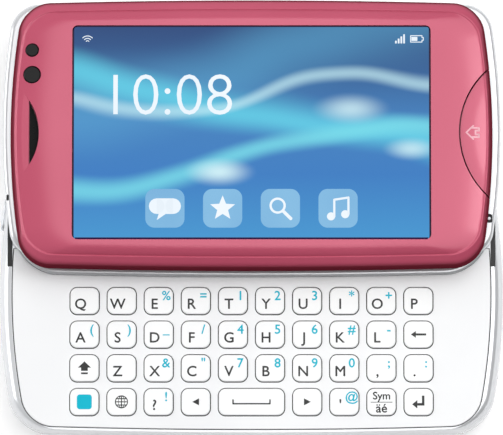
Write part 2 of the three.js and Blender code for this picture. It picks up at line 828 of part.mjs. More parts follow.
function frontCover() {
  const cavity = prism(roundedRectangle(2 * cavityHalfLength, 2 * cavityHalfWidth,
    cavityCornerRadius, 0, 0, keySteps), coverBottom - overrun, windowBottom);
  const opening = prism(roundedRectangle(openingLength, openingWidth, openingCornerRadius,
    0, 0, keySteps), windowBottom - overrun, windowTop + overrun);
  const hollow = block(hollowLeft, hollowRight, hollowFront, hollowRear,
    coverBottom - overrun, hollowTop);
  const sensorHoles = sensors.map(({ y, radius }) => post(radius + sensorGap, sensorX, y,
    hollowTop - overrun, windowTop + overrun));
  return cutBy(coverBlank(), [
    cavity,
    opening,
    hollow,
    ...sensorHoles,
    homeLens(homeGap, homeBottom - homeTravel - layerGap),
    earCrescent(0, earFloor, windowTop + overrun),
    earCrescent(earSlotInset, hollowTop - overrun, windowTop),
  ]);
}

// The phone, slid open

const base = new THREE.Group();
const openRear = slideTravel + shellShift + shellWidth / 2;
base.position.y = (baseWidth / 2 - openRear) / 2;
base.add(
  named('back_cover', backCover(), silverPlastic),
  named('battery', battery(), cellWrap),
  named('camera_module', cameraModule(), blackPlastic),
  named('loudspeaker', loudspeaker(), blackPlastic),
  named('base_frame', baseFrame(), silverPlastic),
  named('main_board', baySheet(boardBottom, boardThickness), boardGreen),
  named('keypad_mat', baySheet(matBottom, matThickness), matRubber),
  named('keyboard_plate', keyboardPlate(), whitePlastic),
  named('slide_bracket', slideBracket(), steel),
  named('volume_rocker', sideKey(volumeLength, rearReach(volumeX)).translate([volumeX, 0, 0]),
    silverPlastic),
  named('camera_key', sideKey(cameraKeyLength, rearReach(cameraKeyX)).translate([cameraKeyX, 0, 0]),
    silverPlastic),
  named('power_key', onLeftEnd(sideKey(powerKeyLength, baseEndRadius)), silverPlastic),
);
for (const place of keyPlaces()) {
  base.add(named(place.name, keyCap(place), keyPlastic));
}

const slider = new THREE.Group();
slider.position.y = base.position.y + slideTravel;
slider.add(
  named('slider_shell', sliderShell(), silverPlastic),
  named('slide_rail', slideRail(), steel),
  named('display_chassis', displayChassis(), steel),
  named('display_panel', displayPanel(), blackPlastic),
  named('touch_window', touchWindow(), screenGlass),
  named('front_cover', frontCover(), pinkPlastic),
  named('home_key', homeKey(), pinkPlastic),
  named('earpiece_grille', earpieceGrille(), blackPlastic),
  named('sensor_window', sensorWindow(), darkGlass),
);

const phone = new THREE.Group();
phone.add(base, slider);

export default phone;
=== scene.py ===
# A slider phone with a full keyboard, lying open on its back.
# Metres, +Z up, X along the long side, +Y the way the upper half slides open.

import math

import bmesh
import bpy
from mathutils import Matrix, Vector


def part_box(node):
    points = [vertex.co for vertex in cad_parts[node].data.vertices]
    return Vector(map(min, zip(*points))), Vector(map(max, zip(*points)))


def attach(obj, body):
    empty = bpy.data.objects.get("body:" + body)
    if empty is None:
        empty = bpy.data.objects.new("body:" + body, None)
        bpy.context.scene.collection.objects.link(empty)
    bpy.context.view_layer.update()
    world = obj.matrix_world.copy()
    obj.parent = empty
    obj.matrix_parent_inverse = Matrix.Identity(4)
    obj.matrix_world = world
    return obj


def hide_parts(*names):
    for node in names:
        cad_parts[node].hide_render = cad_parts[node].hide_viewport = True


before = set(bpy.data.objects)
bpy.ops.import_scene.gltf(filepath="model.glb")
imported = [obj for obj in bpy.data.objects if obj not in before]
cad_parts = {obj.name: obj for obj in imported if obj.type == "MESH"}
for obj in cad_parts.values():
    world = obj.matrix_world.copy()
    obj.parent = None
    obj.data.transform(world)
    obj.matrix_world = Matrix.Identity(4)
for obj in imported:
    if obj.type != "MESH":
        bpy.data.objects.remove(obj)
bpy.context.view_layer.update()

# Back cover
# The shallow dish that closes the phone's back. It is moulded in silver-white ABS with a fine
# spark-eroded grain, and snaps onto the middle frame all round.

MM = 0.001
FRAME_LOW, FRAME_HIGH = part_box("base_frame")
BASE_MIDDLE = (FRAME_LOW.y + FRAME_HIGH.y) / 2
BASE_LENGTH = FRAME_HIGH.x - FRAME_LOW.x
BASE_WIDTH = FRAME_HIGH.y - FRAME_LOW.y
BASE_CORNER = 6.5 * MM
BASE_END_RADIUS = 118 * MM
BASE_SIDE_RADIUS = 1400 * MM
BACK_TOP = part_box("back_cover")[1].z
BACK_ROLL = 3.0 * MM
BACK_WALL = 2.4 * MM
BACK_FLOOR = 1.0 * MM
OVERRUN = 1.0 * MM
GRAIN = 0.25 * MM
GRAIN_DEPTH = 0.004 * MM
RELIEF = 0.25
DRIFT_SCALE = 45
DRIFT_SPAN = (0.3, 0.7)
GLOSS_SPAN = (0.85, 1.2)
COAT_ROUGHNESS = 0.04
CORNER_STEPS = 12
EDGE_CUTS = 17
ROLL_STEPS = 8
ROUND_STEPS = 64
SHARP_ANGLE = 28


def outline(length, width, corner, end_radius=None, side_radius=None):
    """One level face with four round corners, whose ends and sides bow outwards where asked."""
    shape = bmesh.new()
    bmesh.ops.create_grid(shape, x_segments=1, y_segments=1, size=0.5)
    bmesh.ops.scale(shape, vec=(length, width, 1), verts=shape.verts)
    bmesh.ops.bevel(shape, geom=shape.verts[:], offset=corner, segments=CORNER_STEPS,
                    profile=0.5, affect="VERTICES", material=-1)
    if end_radius:
        straight = [edge for edge in shape.edges if edge.calc_length() > 2 * corner]
        bmesh.ops.subdivide_edges(shape, edges=straight, cuts=EDGE_CUTS)
        for vert in shape.verts:
            x, y = vert.co.x, vert.co.y
            vert.co.x *= 1 - y ** 2 / (end_radius * length)
            vert.co.y *= 1 - x ** 2 / (side_radius * width)
    return shape


def base_outline(end_inset, side_inset):
    """The lower half's outline, drawn in at its ends and its sides."""
    return outline(BASE_LENGTH - 2 * end_inset, BASE_WIDTH - 2 * side_inset,
                   BASE_CORNER - (end_inset + side_inset) / 2, BASE_END_RADIUS, BASE_SIDE_RADIUS)


def station(height, end_inset=0.0, side_inset=None):
    """A level to raise a face to, and how far its ends and its sides are drawn in there."""
    return Vector((end_inset, end_inset if side_inset is None else side_inset, height))


def rolled(start, end, steps=ROLL_STEPS):
    """Stations of a quarter ellipse that is upright at start and level at end."""
    stations = []
    for step in range(1, steps + 1):
        angle = math.pi / 2 * step / steps
        level = 1 - math.cos(angle)
        stations.append(start + (end - start) * Vector((level, level, math.sin(angle))))
    return stations


def raised(shape, stations):
    """Extrudes the face through the stations, and closes it."""
    half_length = max(vert.co.x for vert in shape.verts)
    half_width = max(vert.co.y for vert in shape.verts)
    face = shape.faces[:][0]
    before = Vector((0, 0, 0))
    for number, after in enumerate(stations):
        if number:
            grown = bmesh.ops.extrude_face_region(shape, geom=[face])["geom"]
            if number > 1:
                shape.faces.remove(face)
            face = next(item for item in grown if isinstance(item, bmesh.types.BMFace))
        longer = (half_length - after.x) / (half_length - before.x)
        wider = (half_width - after.y) / (half_width - before.y)
        bmesh.ops.scale(shape, vec=(longer, wider, 1), verts=face.verts)
        bmesh.ops.translate(shape, vec=(0, 0, after.z - before.z), verts=face.verts)
        before = after
    return shape


def prism(shape, bottom, top):
    """Raises the face straight from bottom to top."""
    return raised(shape, [station(bottom), station(top)])


def slab(length, width, corner, bottom, top):
    """An upright plate with four round corners."""
    return prism(outline(length, width, corner), bottom, top)


def crowned(shape, feet, shoulder, crown, steps=ROLL_STEPS):
    """Raises the face through its feet to a shoulder, and rolls it in from there to its crown."""
    return raised(shape, [*feet, shoulder, *rolled(shoulder, crown, steps)])


def moved(shape, x=0.0, y=0.0, z=0.0, turn=0.0, axis="Z"):
    """Turns a shape about an axis through the origin, and then moves it."""
    if turn:
        bmesh.ops.rotate(shape, cent=(0, 0, 0), matrix=Matrix.Rotation(turn, 3, axis),
                         verts=shape.verts)
    bmesh.ops.translate(shape, vec=(x, y, z), verts=shape.verts)
    return shape


def disc(radius, x, y, bottom, top, steps=ROUND_STEPS):
    """An upright round bar about x, y."""
    shape = bmesh.new()
    bmesh.ops.create_cone(shape, cap_ends=True, segments=steps, radius1=radius, radius2=radius,
                          depth=top - bottom)
    return moved(shape, x, y, (bottom + top) / 2)


def made(name, shape, along=0.0):
    """An object of the shape, moved along Y to its half of the phone."""
    moved(shape, y=along)
    bmesh.ops.recalc_face_normals(shape, faces=shape.faces)
    if shape.calc_volume(signed=True) < 0:
        bmesh.ops.reverse_faces(shape, faces=shape.faces)
    mesh = bpy.data.meshes.new(name)
    shape.to_mesh(mesh)
    shape.free()
    thing = bpy.data.objects.new(name, mesh)
    bpy.context.collection.objects.link(thing)
    return thing


def cut(thing, tools, operation="DIFFERENCE"):
    """Cuts the tools out of the thing, or keeps what it shares with them, and clears them away."""
    for tool in tools:
        bite = thing.modifiers.new("bite", "BOOLEAN")
        bite.operation = operation
        bite.object = tool
    graph = bpy.context.evaluated_depsgraph_get()
    carved = bpy.data.meshes.new_from_object(thing.evaluated_get(graph))
    thing.modifiers.clear()
    thing.data = carved
    for tool in tools:
        bpy.data.objects.remove(tool)


def finished(thing, material, body, nodes=(), sharp=SHARP_ANGLE):
    """Smooths, paints and fixes a piece to its body, in place of the nodes that it stands for."""
    if sharp:
        thing.data.shade_smooth()
        thing.data.set_sharp_from_angle(angle=math.radians(sharp))
        flats = thing.modifiers.new("flats", "WEIGHTED_NORMAL")
        flats.keep_sharp = True
    thing.data.materials.clear()
    thing.data.materials.append(material)
    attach(thing, body)
    if nodes:
        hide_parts(*nodes)


def tone(red, green, blue):
    """A colour as a screen gives it, 0 to 255, turned into the linear colour of a shader."""
    shares = [value / 255 for value in (red, green, blue)]
    linear = [s / 12.92 if s <= 0.04045 else ((s + 0.055) / 1.055) ** 2.4 for s in shares]
    return (*linear, 1)


def filled(tree, node, inputs):
    """Sets each input of a node to its value, or links it to its socket."""
    for name, value in inputs.items():
        if isinstance(value, bpy.types.NodeSocket):
            tree.links.new(value, node.inputs[name])
        else:
            node.inputs[name].default_value = value
    return node


def added(tree, kind, inputs):
    """A new node of that kind, with its inputs filled."""
    return filled(tree, tree.nodes.new(kind), inputs)


def tuned(material, inputs):
    """Fills inputs of a material's shader."""
    filled(material.node_tree, material.node_tree.nodes["Principled BSDF"], inputs)
    return material


def moulded(name, dark, light, roughness, grain=GRAIN, depth=GRAIN_DEPTH, metallic=0.0, coat=0.0,
            stretch=(1, 1, 1)):
    """A moulded surface: its colour drifts a little, and a fine grain breaks its gloss."""
    material = bpy.data.materials.new(name)
    material.use_nodes = True
    tree = material.node_tree
    place = tree.nodes.new("ShaderNodeTexCoord").outputs["Object"]
    drift = added(tree, "ShaderNodeTexNoise", {"Vector": place, "Scale": DRIFT_SCALE, "Detail": 2})
    colours = added(tree, "ShaderNodeValToRGB", {"Fac": drift.outputs["Fac"]})
    for stop, position, colour in zip(colours.color_ramp.elements, DRIFT_SPAN, (dark, light)):
        stop.position = position
        stop.color = colour
    drawn_out = added(tree, "ShaderNodeMapping", {"Vector": place, "Scale": stretch})
    fine = added(tree, "ShaderNodeTexNoise",
                 {"Vector": drawn_out.outputs["Vector"], "Scale": 1 / grain, "Detail": 3})
    gloss = added(tree, "ShaderNodeMapRange",
                  {"Value": fine.outputs["Fac"], "To Min": GLOSS_SPAN[0] * roughness,
                   "To Max": GLOSS_SPAN[1] * roughness})
    relief = added(tree, "ShaderNodeBump",
                   {"Height": fine.outputs["Fac"], "Strength": RELIEF, "Distance": depth})
    return tuned(material, {"Base Color": colours.outputs["Color"],
                            "Roughness": gloss.outputs["Result"],
                            "Normal": relief.outputs["Normal"], "Metallic": metallic,
                            "Coat Weight": coat, "Coat Roughness": COAT_ROUGHNESS})


def at_node(name):
    """The middle of a node's box, seen from above."""
    low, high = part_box(name)
    return (low.x + high.x) / 2, (low.y + high.y) / 2


back_white = moulded("back_white", tone(216, 218, 222), tone(224, 226, 229), 0.42,
                     grain=0.18 * MM, depth=0.01 * MM)
back_shape = crowned(base_outline(0, 0), [], station(BACK_TOP), station(0, BACK_ROLL))
back_cover = made("back_cover_moulding", back_shape, BASE_MIDDLE)
back_hollow = prism(base_outline(BACK_WALL, BACK_WALL), BACK_FLOOR, BACK_TOP + OVERRUN)
back_tools = [made("hollow", back_hollow, BASE_MIDDLE)]

CAMERA_X, CAMERA_Y = at_node("camera_module")
CAMERA_RADIUS = 3.45 * MM
CAMERA_GAP = 0.3 * MM
camera_hole = disc(CAMERA_RADIUS + CAMERA_GAP, CAMERA_X, CAMERA_Y, -OVERRUN, BACK_TOP)
back_tools.append(made("camera_hole", camera_hole))

SPEAKER_X, SPEAKER_Y = at_node("loudspeaker")
SPEAKER_SLOTS = 4
SPEAKER_SLOT_PITCH = 2.2 * MM
SPEAKER_SLOT_LENGTH = 7 * MM
SPEAKER_SLOT_WIDTH = 0.9 * MM
SPEAKER_SLOT_CORNER = 0.49 * SPEAKER_SLOT_WIDTH
for number in range(SPEAKER_SLOTS):
    slot_x = SPEAKER_X + (number - (SPEAKER_SLOTS - 1) / 2) * SPEAKER_SLOT_PITCH
    slot = slab(SPEAKER_SLOT_WIDTH, SPEAKER_SLOT_LENGTH, SPEAKER_SLOT_CORNER, -OVERRUN, BACK_TOP)
    back_tools.append(made("speaker_slot", moved(slot, slot_x, SPEAKER_Y)))
cut(back_cover, back_tools)
finished(back_cover, back_white, "lower_half", ["back_cover"])

# Parts inside the lower half
# The wrapped lithium cell, the green circuit board, the silicone keypad mat and the loudspeaker
# stay as the frame has them. They lie between the back cover and the middle frame.


def dressed(node, material):
    """Gives a material to a node that keeps the frame's own shape."""
    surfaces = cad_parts[node].data.materials
    surfaces.clear()
    surfaces.append(material)


black_plastic = moulded("black_plastic", tone(24, 24, 26), tone(32, 32, 34), 0.45,
                        grain=0.12 * MM, depth=0.01 * MM)
dressed("battery", moulded("cell_wrap", tone(54, 57, 62), tone(66, 69, 74), 0.5))
dressed("main_board", moulded("board_green", tone(24, 84, 56), tone(34, 98, 66), 0.5,
                              grain=1.2 * MM, depth=0.04 * MM))
dressed("keypad_mat", moulded("mat_rubber", tone(226, 226, 222), tone(236, 236, 233), 0.7))
dressed("loudspeaker", black_plastic)
dressed("camera_module", black_plastic)

# Camera lens
# A coated glass dome in a turned steel bezel. Both sit at the mouth of the camera's barrel,
# a little below the back cover's face.

LENS_RADIUS = 1.9 * MM
LENS_RISE = 0.1 * MM
LENS_STEPS = 8
BEZEL_WIDTH = 0.7 * MM
BEZEL_HEIGHT = 0.12 * MM
BEZEL_CREST = 1.2 * BEZEL_HEIGHT
CAMERA_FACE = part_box("camera_module")[0].z
WELD = 1e-7


def turned(profile, x, y, steps=ROUND_STEPS):
    """A full turn, about an upright axis at x, y, of a profile of (radius, height) points."""
    shape = bmesh.new()
    corners = [shape.verts.new((radius, 0, height)) for radius, height in profile]
    edges = [shape.edges.new(pair) for pair in zip(corners, corners[1:])]
    bmesh.ops.spin(shape, geom=corners + edges, cent=(0, 0, 0), axis=(0, 0, 1),
                   angle=2 * math.pi, steps=steps, use_merge=True)
    bmesh.ops.remove_doubles(shape, verts=shape.verts, dist=WELD)
    return moved(shape, x, y)


# Bright steel whose grain runs along X, as brushed sheet has
steel = moulded("steel", tone(168, 171, 175), tone(186, 189, 193), 0.32, metallic=0.9,
                stretch=(0.04, 1, 1))
bezel_profile = [(LENS_RADIUS, CAMERA_FACE), (LENS_RADIUS, CAMERA_FACE - BEZEL_HEIGHT),
                 (LENS_RADIUS + BEZEL_WIDTH / 2, CAMERA_FACE - BEZEL_CREST),
                 (LENS_RADIUS + BEZEL_WIDTH, CAMERA_FACE - BEZEL_HEIGHT / 2),
                 (LENS_RADIUS + BEZEL_WIDTH, CAMERA_FACE), (LENS_RADIUS, CAMERA_FACE)]
finished(made("camera_bezel", turned(bezel_profile, CAMERA_X, CAMERA_Y)), steel,
         "lower_half")

# Dark coated glass: deep colour under a clear hard coat, with faint wiping marks
lens_glass = moulded("lens_glass", tone(16, 18, 30), tone(34, 30, 52), 0.05, grain=2.5 * MM,
                     depth=0.0005 * MM, coat=1.0)
tuned(lens_glass, {"IOR": 1.52})
lens_profile = []
for step in range(LENS_STEPS + 1):
    share = step / LENS_STEPS
    lens_profile.append((LENS_RADIUS * share,
                         CAMERA_FACE - LENS_RISE * math.cos(share * math.pi / 2)))
lens_profile.append((0, CAMERA_FACE))
finished(made("camera_lens", turned(lens_profile, CAMERA_X, CAMERA_Y)), lens_glass,
         "lower_half")

# Middle frame
# The glossy silver-white band round the lower half. It is moulded in ABS and lacquered, and it
# carries the main board, the keyboard plate and the slide bracket. Its ends roll over the top.

SEAM = 0.1 * MM
FRAME_BOTTOM = FRAME_LOW.z
FRAME_TOP = FRAME_HIGH.z
FRAME_WALL = 1.5 * MM
FRAME_END_ROLL = 2.2 * MM
FRAME_SIDE_ROLL = 0.25 * MM
FRAME_ROLL_HEIGHT = 3.3 * MM
PLATE_BOTTOM = 8.45 * MM
PLATE_TOP = 9.35 * MM
PLATE_END_INSET = 2.35 * MM
PLATE_SIDE_INSET = 0.75 * MM
PLATE_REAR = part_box("keyboard_plate")[1].y - BASE_MIDDLE
PLATE_LEDGE = 0.8 * MM
DECK_FRONT = PLATE_REAR + 1.0 * MM
DECK_BOTTOM = PLATE_BOTTOM - 0.9 * MM
WEB_BOTTOM = 5.8 * MM
WEB_TOP = 6.4 * MM
BAY_END_WALL = 3.6 * MM
BAY_SIDE_WALL = 2.0 * MM
ABOVE = FRAME_TOP + OVERRUN


def halved(shape, place, outwards):
    """Cuts away what lies outwards of a place, and closes the cut."""
    geometry = shape.verts[:] + shape.edges[:] + shape.faces[:]
    halves = bmesh.ops.bisect_plane(shape, geom=geometry, dist=WELD, plane_co=place,
                                    plane_no=outwards, clear_outer=True)
    rim = [item for item in halves["geom_cut"] if isinstance(item, bmesh.types.BMEdge)]
    bmesh.ops.contextual_create(shape, geom=rim)
    return shape


def front_of(shape, y):
    """The front part of a shape that is cut across the phone at y."""
    return halved(shape, (0, y, 0), (0, 1, 0))


def rear_of(shape, y):
    """The rear part of a shape that is cut across the phone at y."""
    return halved(shape, (0, y, 0), (0, -1, 0))


def plate_outline(grow):
    """The outline of the keyboard plate's seat, grown all round."""
    return base_outline(PLATE_END_INSET - grow, PLATE_SIDE_INSET - grow)


silver_white = moulded("silver_white", tone(218, 220, 223), tone(225, 227, 230), 0.2,
                       metallic=0.4, coat=0.3)
frame_shape = crowned(base_outline(0, 0), [station(FRAME_BOTTOM)],
                      station(FRAME_TOP - FRAME_ROLL_HEIGHT),
                      station(FRAME_TOP, FRAME_END_ROLL, FRAME_SIDE_ROLL))
middle_frame = made("middle_frame", frame_shape, BASE_MIDDLE)

battery_bay = prism(base_outline(FRAME_WALL, FRAME_WALL), FRAME_BOTTOM - OVERRUN, WEB_BOTTOM)
parts_bay = prism(base_outline(FRAME_WALL, FRAME_WALL), WEB_BOTTOM - OVERRUN, DECK_BOTTOM)
board_bay = prism(base_outline(BAY_END_WALL, BAY_SIDE_WALL), WEB_TOP, ABOVE)
plate_seat = prism(plate_outline(SEAM), PLATE_BOTTOM - SEAM, ABOVE)
deck_recess = prism(base_outline(BAY_END_WALL, BAY_SIDE_WALL), PLATE_BOTTOM, ABOVE)
bays = [battery_bay, rear_of(parts_bay, DECK_FRONT), front_of(board_bay, PLATE_REAR - PLATE_LEDGE),
        front_of(plate_seat, PLATE_REAR + SEAM), rear_of(deck_recess, DECK_FRONT)]
frame_tools = [made("bay", shape, BASE_MIDDLE) for shape in bays]

GROOVE_WIDTH = 1.0 * MM
GROOVE_LAP = 0.9 * MM
GROOVE_OUT = BASE_LENGTH / 2 - PLATE_END_INSET + GROOVE_LAP
GROOVE_IN = GROOVE_OUT - GROOVE_WIDTH
GROOVE_FRONT = 4.7 * MM
GROOVE_REAR = CAMERA_Y - BASE_MIDDLE
GROOVE_DEPTH = 1.2 * MM
GROOVE_FLOOR = FRAME_TOP - GROOVE_DEPTH


def block(x0, x1, y0, y1, z0, z1):
    """A box between those limits."""
    shape = bmesh.new()
    bmesh.ops.create_cube(shape, size=1)
    bmesh.ops.scale(shape, vec=(x1 - x0, y1 - y0, z1 - z0), verts=shape.verts)
    return moved(shape, (x0 + x1) / 2, (y0 + y1) / 2, (z0 + z1) / 2)


for side in (-1, 1):
    groove_x = sorted((side * GROOVE_IN, side * GROOVE_OUT))
    groove = block(*groove_x, GROOVE_FRONT, GROOVE_REAR, GROOVE_FLOOR, ABOVE)
    frame_tools.append(made("groove", groove, BASE_MIDDLE))

SOCKET_Y = -12 * MM
SOCKET_Z = 5.1 * MM
JACK_RADIUS = 1.75 * MM
JACK_REACH = 1.5 * MM
CHARGER_WIDTH = 7.4 * MM
CHARGER_HEIGHT = 1.9 * MM
CHARGER_CORNER = 0.45 * CHARGER_HEIGHT
CHARGER_REACH = 2.5 * MM
END_REACH = BASE_LENGTH / 2 - SOCKET_Y ** 2 / (2 * BASE_END_RADIUS)


def lying(shape, x):
    """Lays an upright shape along X and moves it to the level of the sockets."""
    return moved(shape, x, SOCKET_Y, SOCKET_Z, turn=math.pi / 2, axis="Y")


jack_hole = disc(JACK_RADIUS, 0, 0, -JACK_REACH, JACK_REACH)
frame_tools.append(made("jack_hole", lying(jack_hole, -END_REACH), BASE_MIDDLE))
charger_slot = slab(CHARGER_HEIGHT, CHARGER_WIDTH, CHARGER_CORNER, -CHARGER_REACH, OVERRUN)
frame_tools.append(made("charger_slot", lying(charger_slot, END_REACH), BASE_MIDDLE))

# Windows of the side keys
# The middle frame's rear side has a window for the volume rocker and one for the camera key, and
# its left end has one for the power key. They are moulded in, and a little larger than the caps.

SIDE_KEY_HEIGHT = 2.6 * MM
SIDE_KEY_FIT = 0.15 * MM
SIDE_KEY_CORNER = 1.1 * MM
VOLUME_LENGTH = 18 * MM
CAMERA_KEY_LENGTH = 9 * MM
POWER_KEY_LENGTH = 6 * MM


def on_rear(shape, x):
    """Turns an upright shape to look out of the rear side at x."""
    reach = BASE_WIDTH / 2 - x ** 2 / (2 * BASE_SIDE_RADIUS)
    return moved(shape, x, reach, SOCKET_Z, turn=-math.pi / 2, axis="X")


def on_left_end(shape, y):
    """Turns an upright shape to look out of the bowed left end at y."""
    moved(shape, 0, BASE_END_RADIUS, SOCKET_Z, turn=-math.pi / 2, axis="X")
    return moved(shape, BASE_END_RADIUS - BASE_LENGTH / 2,
                 turn=math.pi / 2 - math.asin(y / BASE_END_RADIUS))


def side_window(length):
    """The opening of a side key, upright, its wall's outer face at zero."""
    return slab(length + 2 * SIDE_KEY_FIT, SIDE_KEY_HEIGHT + 2 * SIDE_KEY_FIT, SIDE_KEY_CORNER,
                -FRAME_WALL - OVERRUN, OVERRUN)


side_keys = {
    "volume_rocker": (VOLUME_LENGTH, on_rear, at_node("volume_rocker")[0]),
    "camera_key": (CAMERA_KEY_LENGTH, on_rear, at_node("camera_key")[0]),
    "power_key": (POWER_KEY_LENGTH, on_left_end, at_node("power_key")[1] - BASE_MIDDLE),
}
for length, put, place in side_keys.values():
    frame_tools.append(made("window", put(side_window(length), place), BASE_MIDDLE))
cut(middle_frame, frame_tools)
finished(middle_frame, silver_white, "lower_half", ["base_frame"])

# Painted shade round the plate
# A thin black band in the seam between the plate and the frame, which paints shade in the seam.
# Two strips of the same black plastic line the grooves beside the pad, as painted shade there.

SEAM_SHADE_IN = 0.08 * MM
SEAM_SHADE_DROP = 0.2 * MM
GROOVE_STRIP = 0.5 * MM


def gathered(shapes):
    """Several shapes as one."""
    whole = bmesh.new()
    for shape in shapes:
        part = bpy.data.meshes.new("part")
        shape.to_mesh(part)
        shape.free()
        whole.from_mesh(part)
        bpy.data.meshes.remove(part)
    return whole


# A black band in the seam, painted shade there
seam_shade_shape = prism(plate_outline(SEAM), PLATE_BOTTOM - SEAM / 2, PLATE_TOP - SEAM_SHADE_DROP)
seam_shade = made("plate_seam_shade", front_of(seam_shade_shape, PLATE_REAR), BASE_MIDDLE)
seam_shade_hollow = prism(plate_outline(-SEAM_SHADE_IN), PLATE_BOTTOM - OVERRUN, ABOVE)
cut(seam_shade, [made("seam_shade_hollow", seam_shade_hollow, BASE_MIDDLE)])
finished(seam_shade, black_plastic, "lower_half", sharp=0)

# Black strips in the grooves beside the pad, painted shade in the grooves
strips = []
for side in (-1, 1):
    strip_x = sorted((side * (GROOVE_IN + SEAM), side * (GROOVE_OUT - SEAM / 2)))
    strips.append(block(*strip_x, GROOVE_FRONT + SEAM, GROOVE_REAR - SEAM,
                        GROOVE_FLOOR - SEAM, GROOVE_FLOOR + GROOVE_STRIP))
finished(made("groove_shade_strips", gathered(strips), BASE_MIDDLE), black_plastic,
         "lower_half")

# Side keys
# The volume rocker, the camera key and the power key. Each is a lacquered cap that stands a little
# out of its window, and a flange behind the wall holds it in.

SIDE_KEY_PROUD = 0.45 * MM
SIDE_KEY_ROLL = 0.4 * MM
FLANGE_OUT = 0.5 * MM
FLANGE_THICKNESS = 0.45 * MM
FLANGE_GAP = 0.6 * MM


def side_cap(length):
    """A cap with its flange, upright, its wall's outer face at zero."""
    inner = -FRAME_WALL - FLANGE_GAP
    feet = [station(inner - FLANGE_THICKNESS, -FLANGE_OUT), station(inner, -FLANGE_OUT),
            station(inner)]
    return crowned(outline(length, SIDE_KEY_HEIGHT, SIDE_KEY_CORNER), feet,
                   station(SIDE_KEY_PROUD - SIDE_KEY_ROLL),
                   station(SIDE_KEY_PROUD, SIDE_KEY_ROLL), steps=5)


key_lacquer = moulded("key_lacquer", tone(196, 199, 204), tone(206, 208, 212), 0.24, metallic=0.6)
for node, (length, put, place) in side_keys.items():
    finished(made(f"{node}_cap", put(side_cap(length), place), BASE_MIDDLE), key_lacquer,
             node, [node])

# Sockets
# The audio socket is a black sleeve with a gilt contact ring, the charging socket a steel shell
# round a black tongue. Both stand behind their openings, soldered to the main board.

SLEEVE_DEPTH = 5.5 * MM
SLEEVE_FLOOR = 0.5 * MM
SLEEVE_BORE = 1.3 * MM
CONTACT_DEPTH = 2.2 * MM
CONTACT_LENGTH = 0.7 * MM
CONTACT_PROUD = 0.25 * MM
SLEEVE_X = SLEEVE_BORE / 2 - END_REACH


def hoop(inner, outer, bottom, top, steps=ROUND_STEPS):
    """An upright ring about the origin."""
    return turned([(inner, bottom), (outer, bottom), (outer, top), (inner, top), (inner, bottom)],
                  0, 0, steps)


sleeve_profile = [(SLEEVE_BORE, 0), (JACK_RADIUS - SEAM, 0), (JACK_RADIUS - SEAM, SLEEVE_DEPTH),
                  (0, SLEEVE_DEPTH), (0, SLEEVE_DEPTH - SLEEVE_FLOOR),
                  (SLEEVE_BORE, SLEEVE_DEPTH - SLEEVE_FLOOR), (SLEEVE_BORE, 0)]
sleeve = lying(turned(sleeve_profile, 0, 0), SLEEVE_X)
finished(made("audio_socket", sleeve, BASE_MIDDLE), black_plastic, "lower_half")
contact = lying(hoop(SLEEVE_BORE - CONTACT_PROUD, SLEEVE_BORE + SEAM / 2, CONTACT_DEPTH,
                     CONTACT_DEPTH + CONTACT_LENGTH), SLEEVE_X)
gilt = moulded("gilt", tone(206, 172, 96), tone(220, 188, 116), 0.3, metallic=1.0)
finished(made("audio_contact", contact, BASE_MIDDLE), gilt, "lower_half")

CHARGER_SHELL = 0.25 * MM
CHARGER_DEPTH = 4.0 * MM
CHARGER_SET_BACK = 0.4 * MM
CHARGER_OUTER_CORNER = 0.4 * CHARGER_HEIGHT
CHARGER_INNER_CORNER = 0.36 * CHARGER_HEIGHT
TONGUE_HEIGHT = 0.5 * MM
TONGUE_WIDTH = 0.6 * CHARGER_WIDTH
TONGUE_CORNER = 0.4 * TONGUE_HEIGHT
TONGUE_SET_BACK = 0.8 * MM
charger_outer = slab(CHARGER_HEIGHT - 2 * SEAM, CHARGER_WIDTH - 2 * SEAM, CHARGER_OUTER_CORNER,
                     -CHARGER_DEPTH, -CHARGER_SET_BACK)
charger_inner = slab(CHARGER_HEIGHT - 2 * CHARGER_SHELL, CHARGER_WIDTH - 2 * CHARGER_SHELL,
                     CHARGER_INNER_CORNER, CHARGER_SHELL - CHARGER_DEPTH, OVERRUN)
charger_shell = made("charging_socket", lying(charger_outer, END_REACH), BASE_MIDDLE)
cut(charger_shell, [made("inner", lying(charger_inner, END_REACH), BASE_MIDDLE)])
finished(charger_shell, steel, "lower_half")
tongue = slab(TONGUE_HEIGHT, TONGUE_WIDTH, TONGUE_CORNER, CHARGER_SHELL / 2 - CHARGER_DEPTH,
              -TONGUE_SET_BACK)
finished(made("charging_tongue", lying(tongue, END_REACH), BASE_MIDDLE), black_plastic,
         "lower_half")

# Slide bracket
# A folded plate of spring steel, screwed to the frame's deck, with two T-shaped shoes that run
# in the rail of the upper half. Its shape stays as the frame has it.

dressed("slide_bracket", steel)

# Keyboard plate
# The glossy white plate round the keys. A raised pad, lacquered silver, is set in a pocket at its
# rear edge, and the upper half stops over it. The plate is clipped into the middle frame.

COVER_LOW, COVER_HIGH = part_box("front_cover")
COVER_LENGTH = COVER_HIGH.x - COVER_LOW.x
COVER_WIDTH = COVER_HIGH.y - COVER_LOW.y
COVER_END_RADIUS = 140 * MM
COVER_SIDE_RADIUS = 1500 * MM
SLIDER_MIDDLE = (COVER_LOW.y + COVER_HIGH.y) / 2
SLIDE_TRAVEL = SLIDER_MIDDLE - BASE_MIDDLE
PLATE_EDGE = 0.15 * MM
PAD_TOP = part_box("keyboard_plate")[1].z
PAD_LENGTH = 89.6 * MM
PAD_CORNER = 6.8 * MM
PAD_EDGE = 0.7 * MM
PAD_SHOW = 0.5 * MM
PAD_POCKET = 0.5 * MM
PAD_GAP = 0.13 * MM
KEY_CORNER = 1.3 * MM
KEY_SKIRT = 0.35 * MM
KEY_HOLE_GAP = 0.17 * MM
KEY_ROWS = ["q w e r t y u i o p", "a s d f g h j k l backspace",
            "shift z x c v b n m comma period",
            "shortcut language question left space right apostrophe sym enter"]


def key_outline(node, grow):
    """The outline of a key's cap, grown all round."""
    low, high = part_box(node)
    spare = 2 * (grow - KEY_SKIRT)
    return outline(high.x - low.x + spare, high.y - low.y + spare, KEY_CORNER + grow)


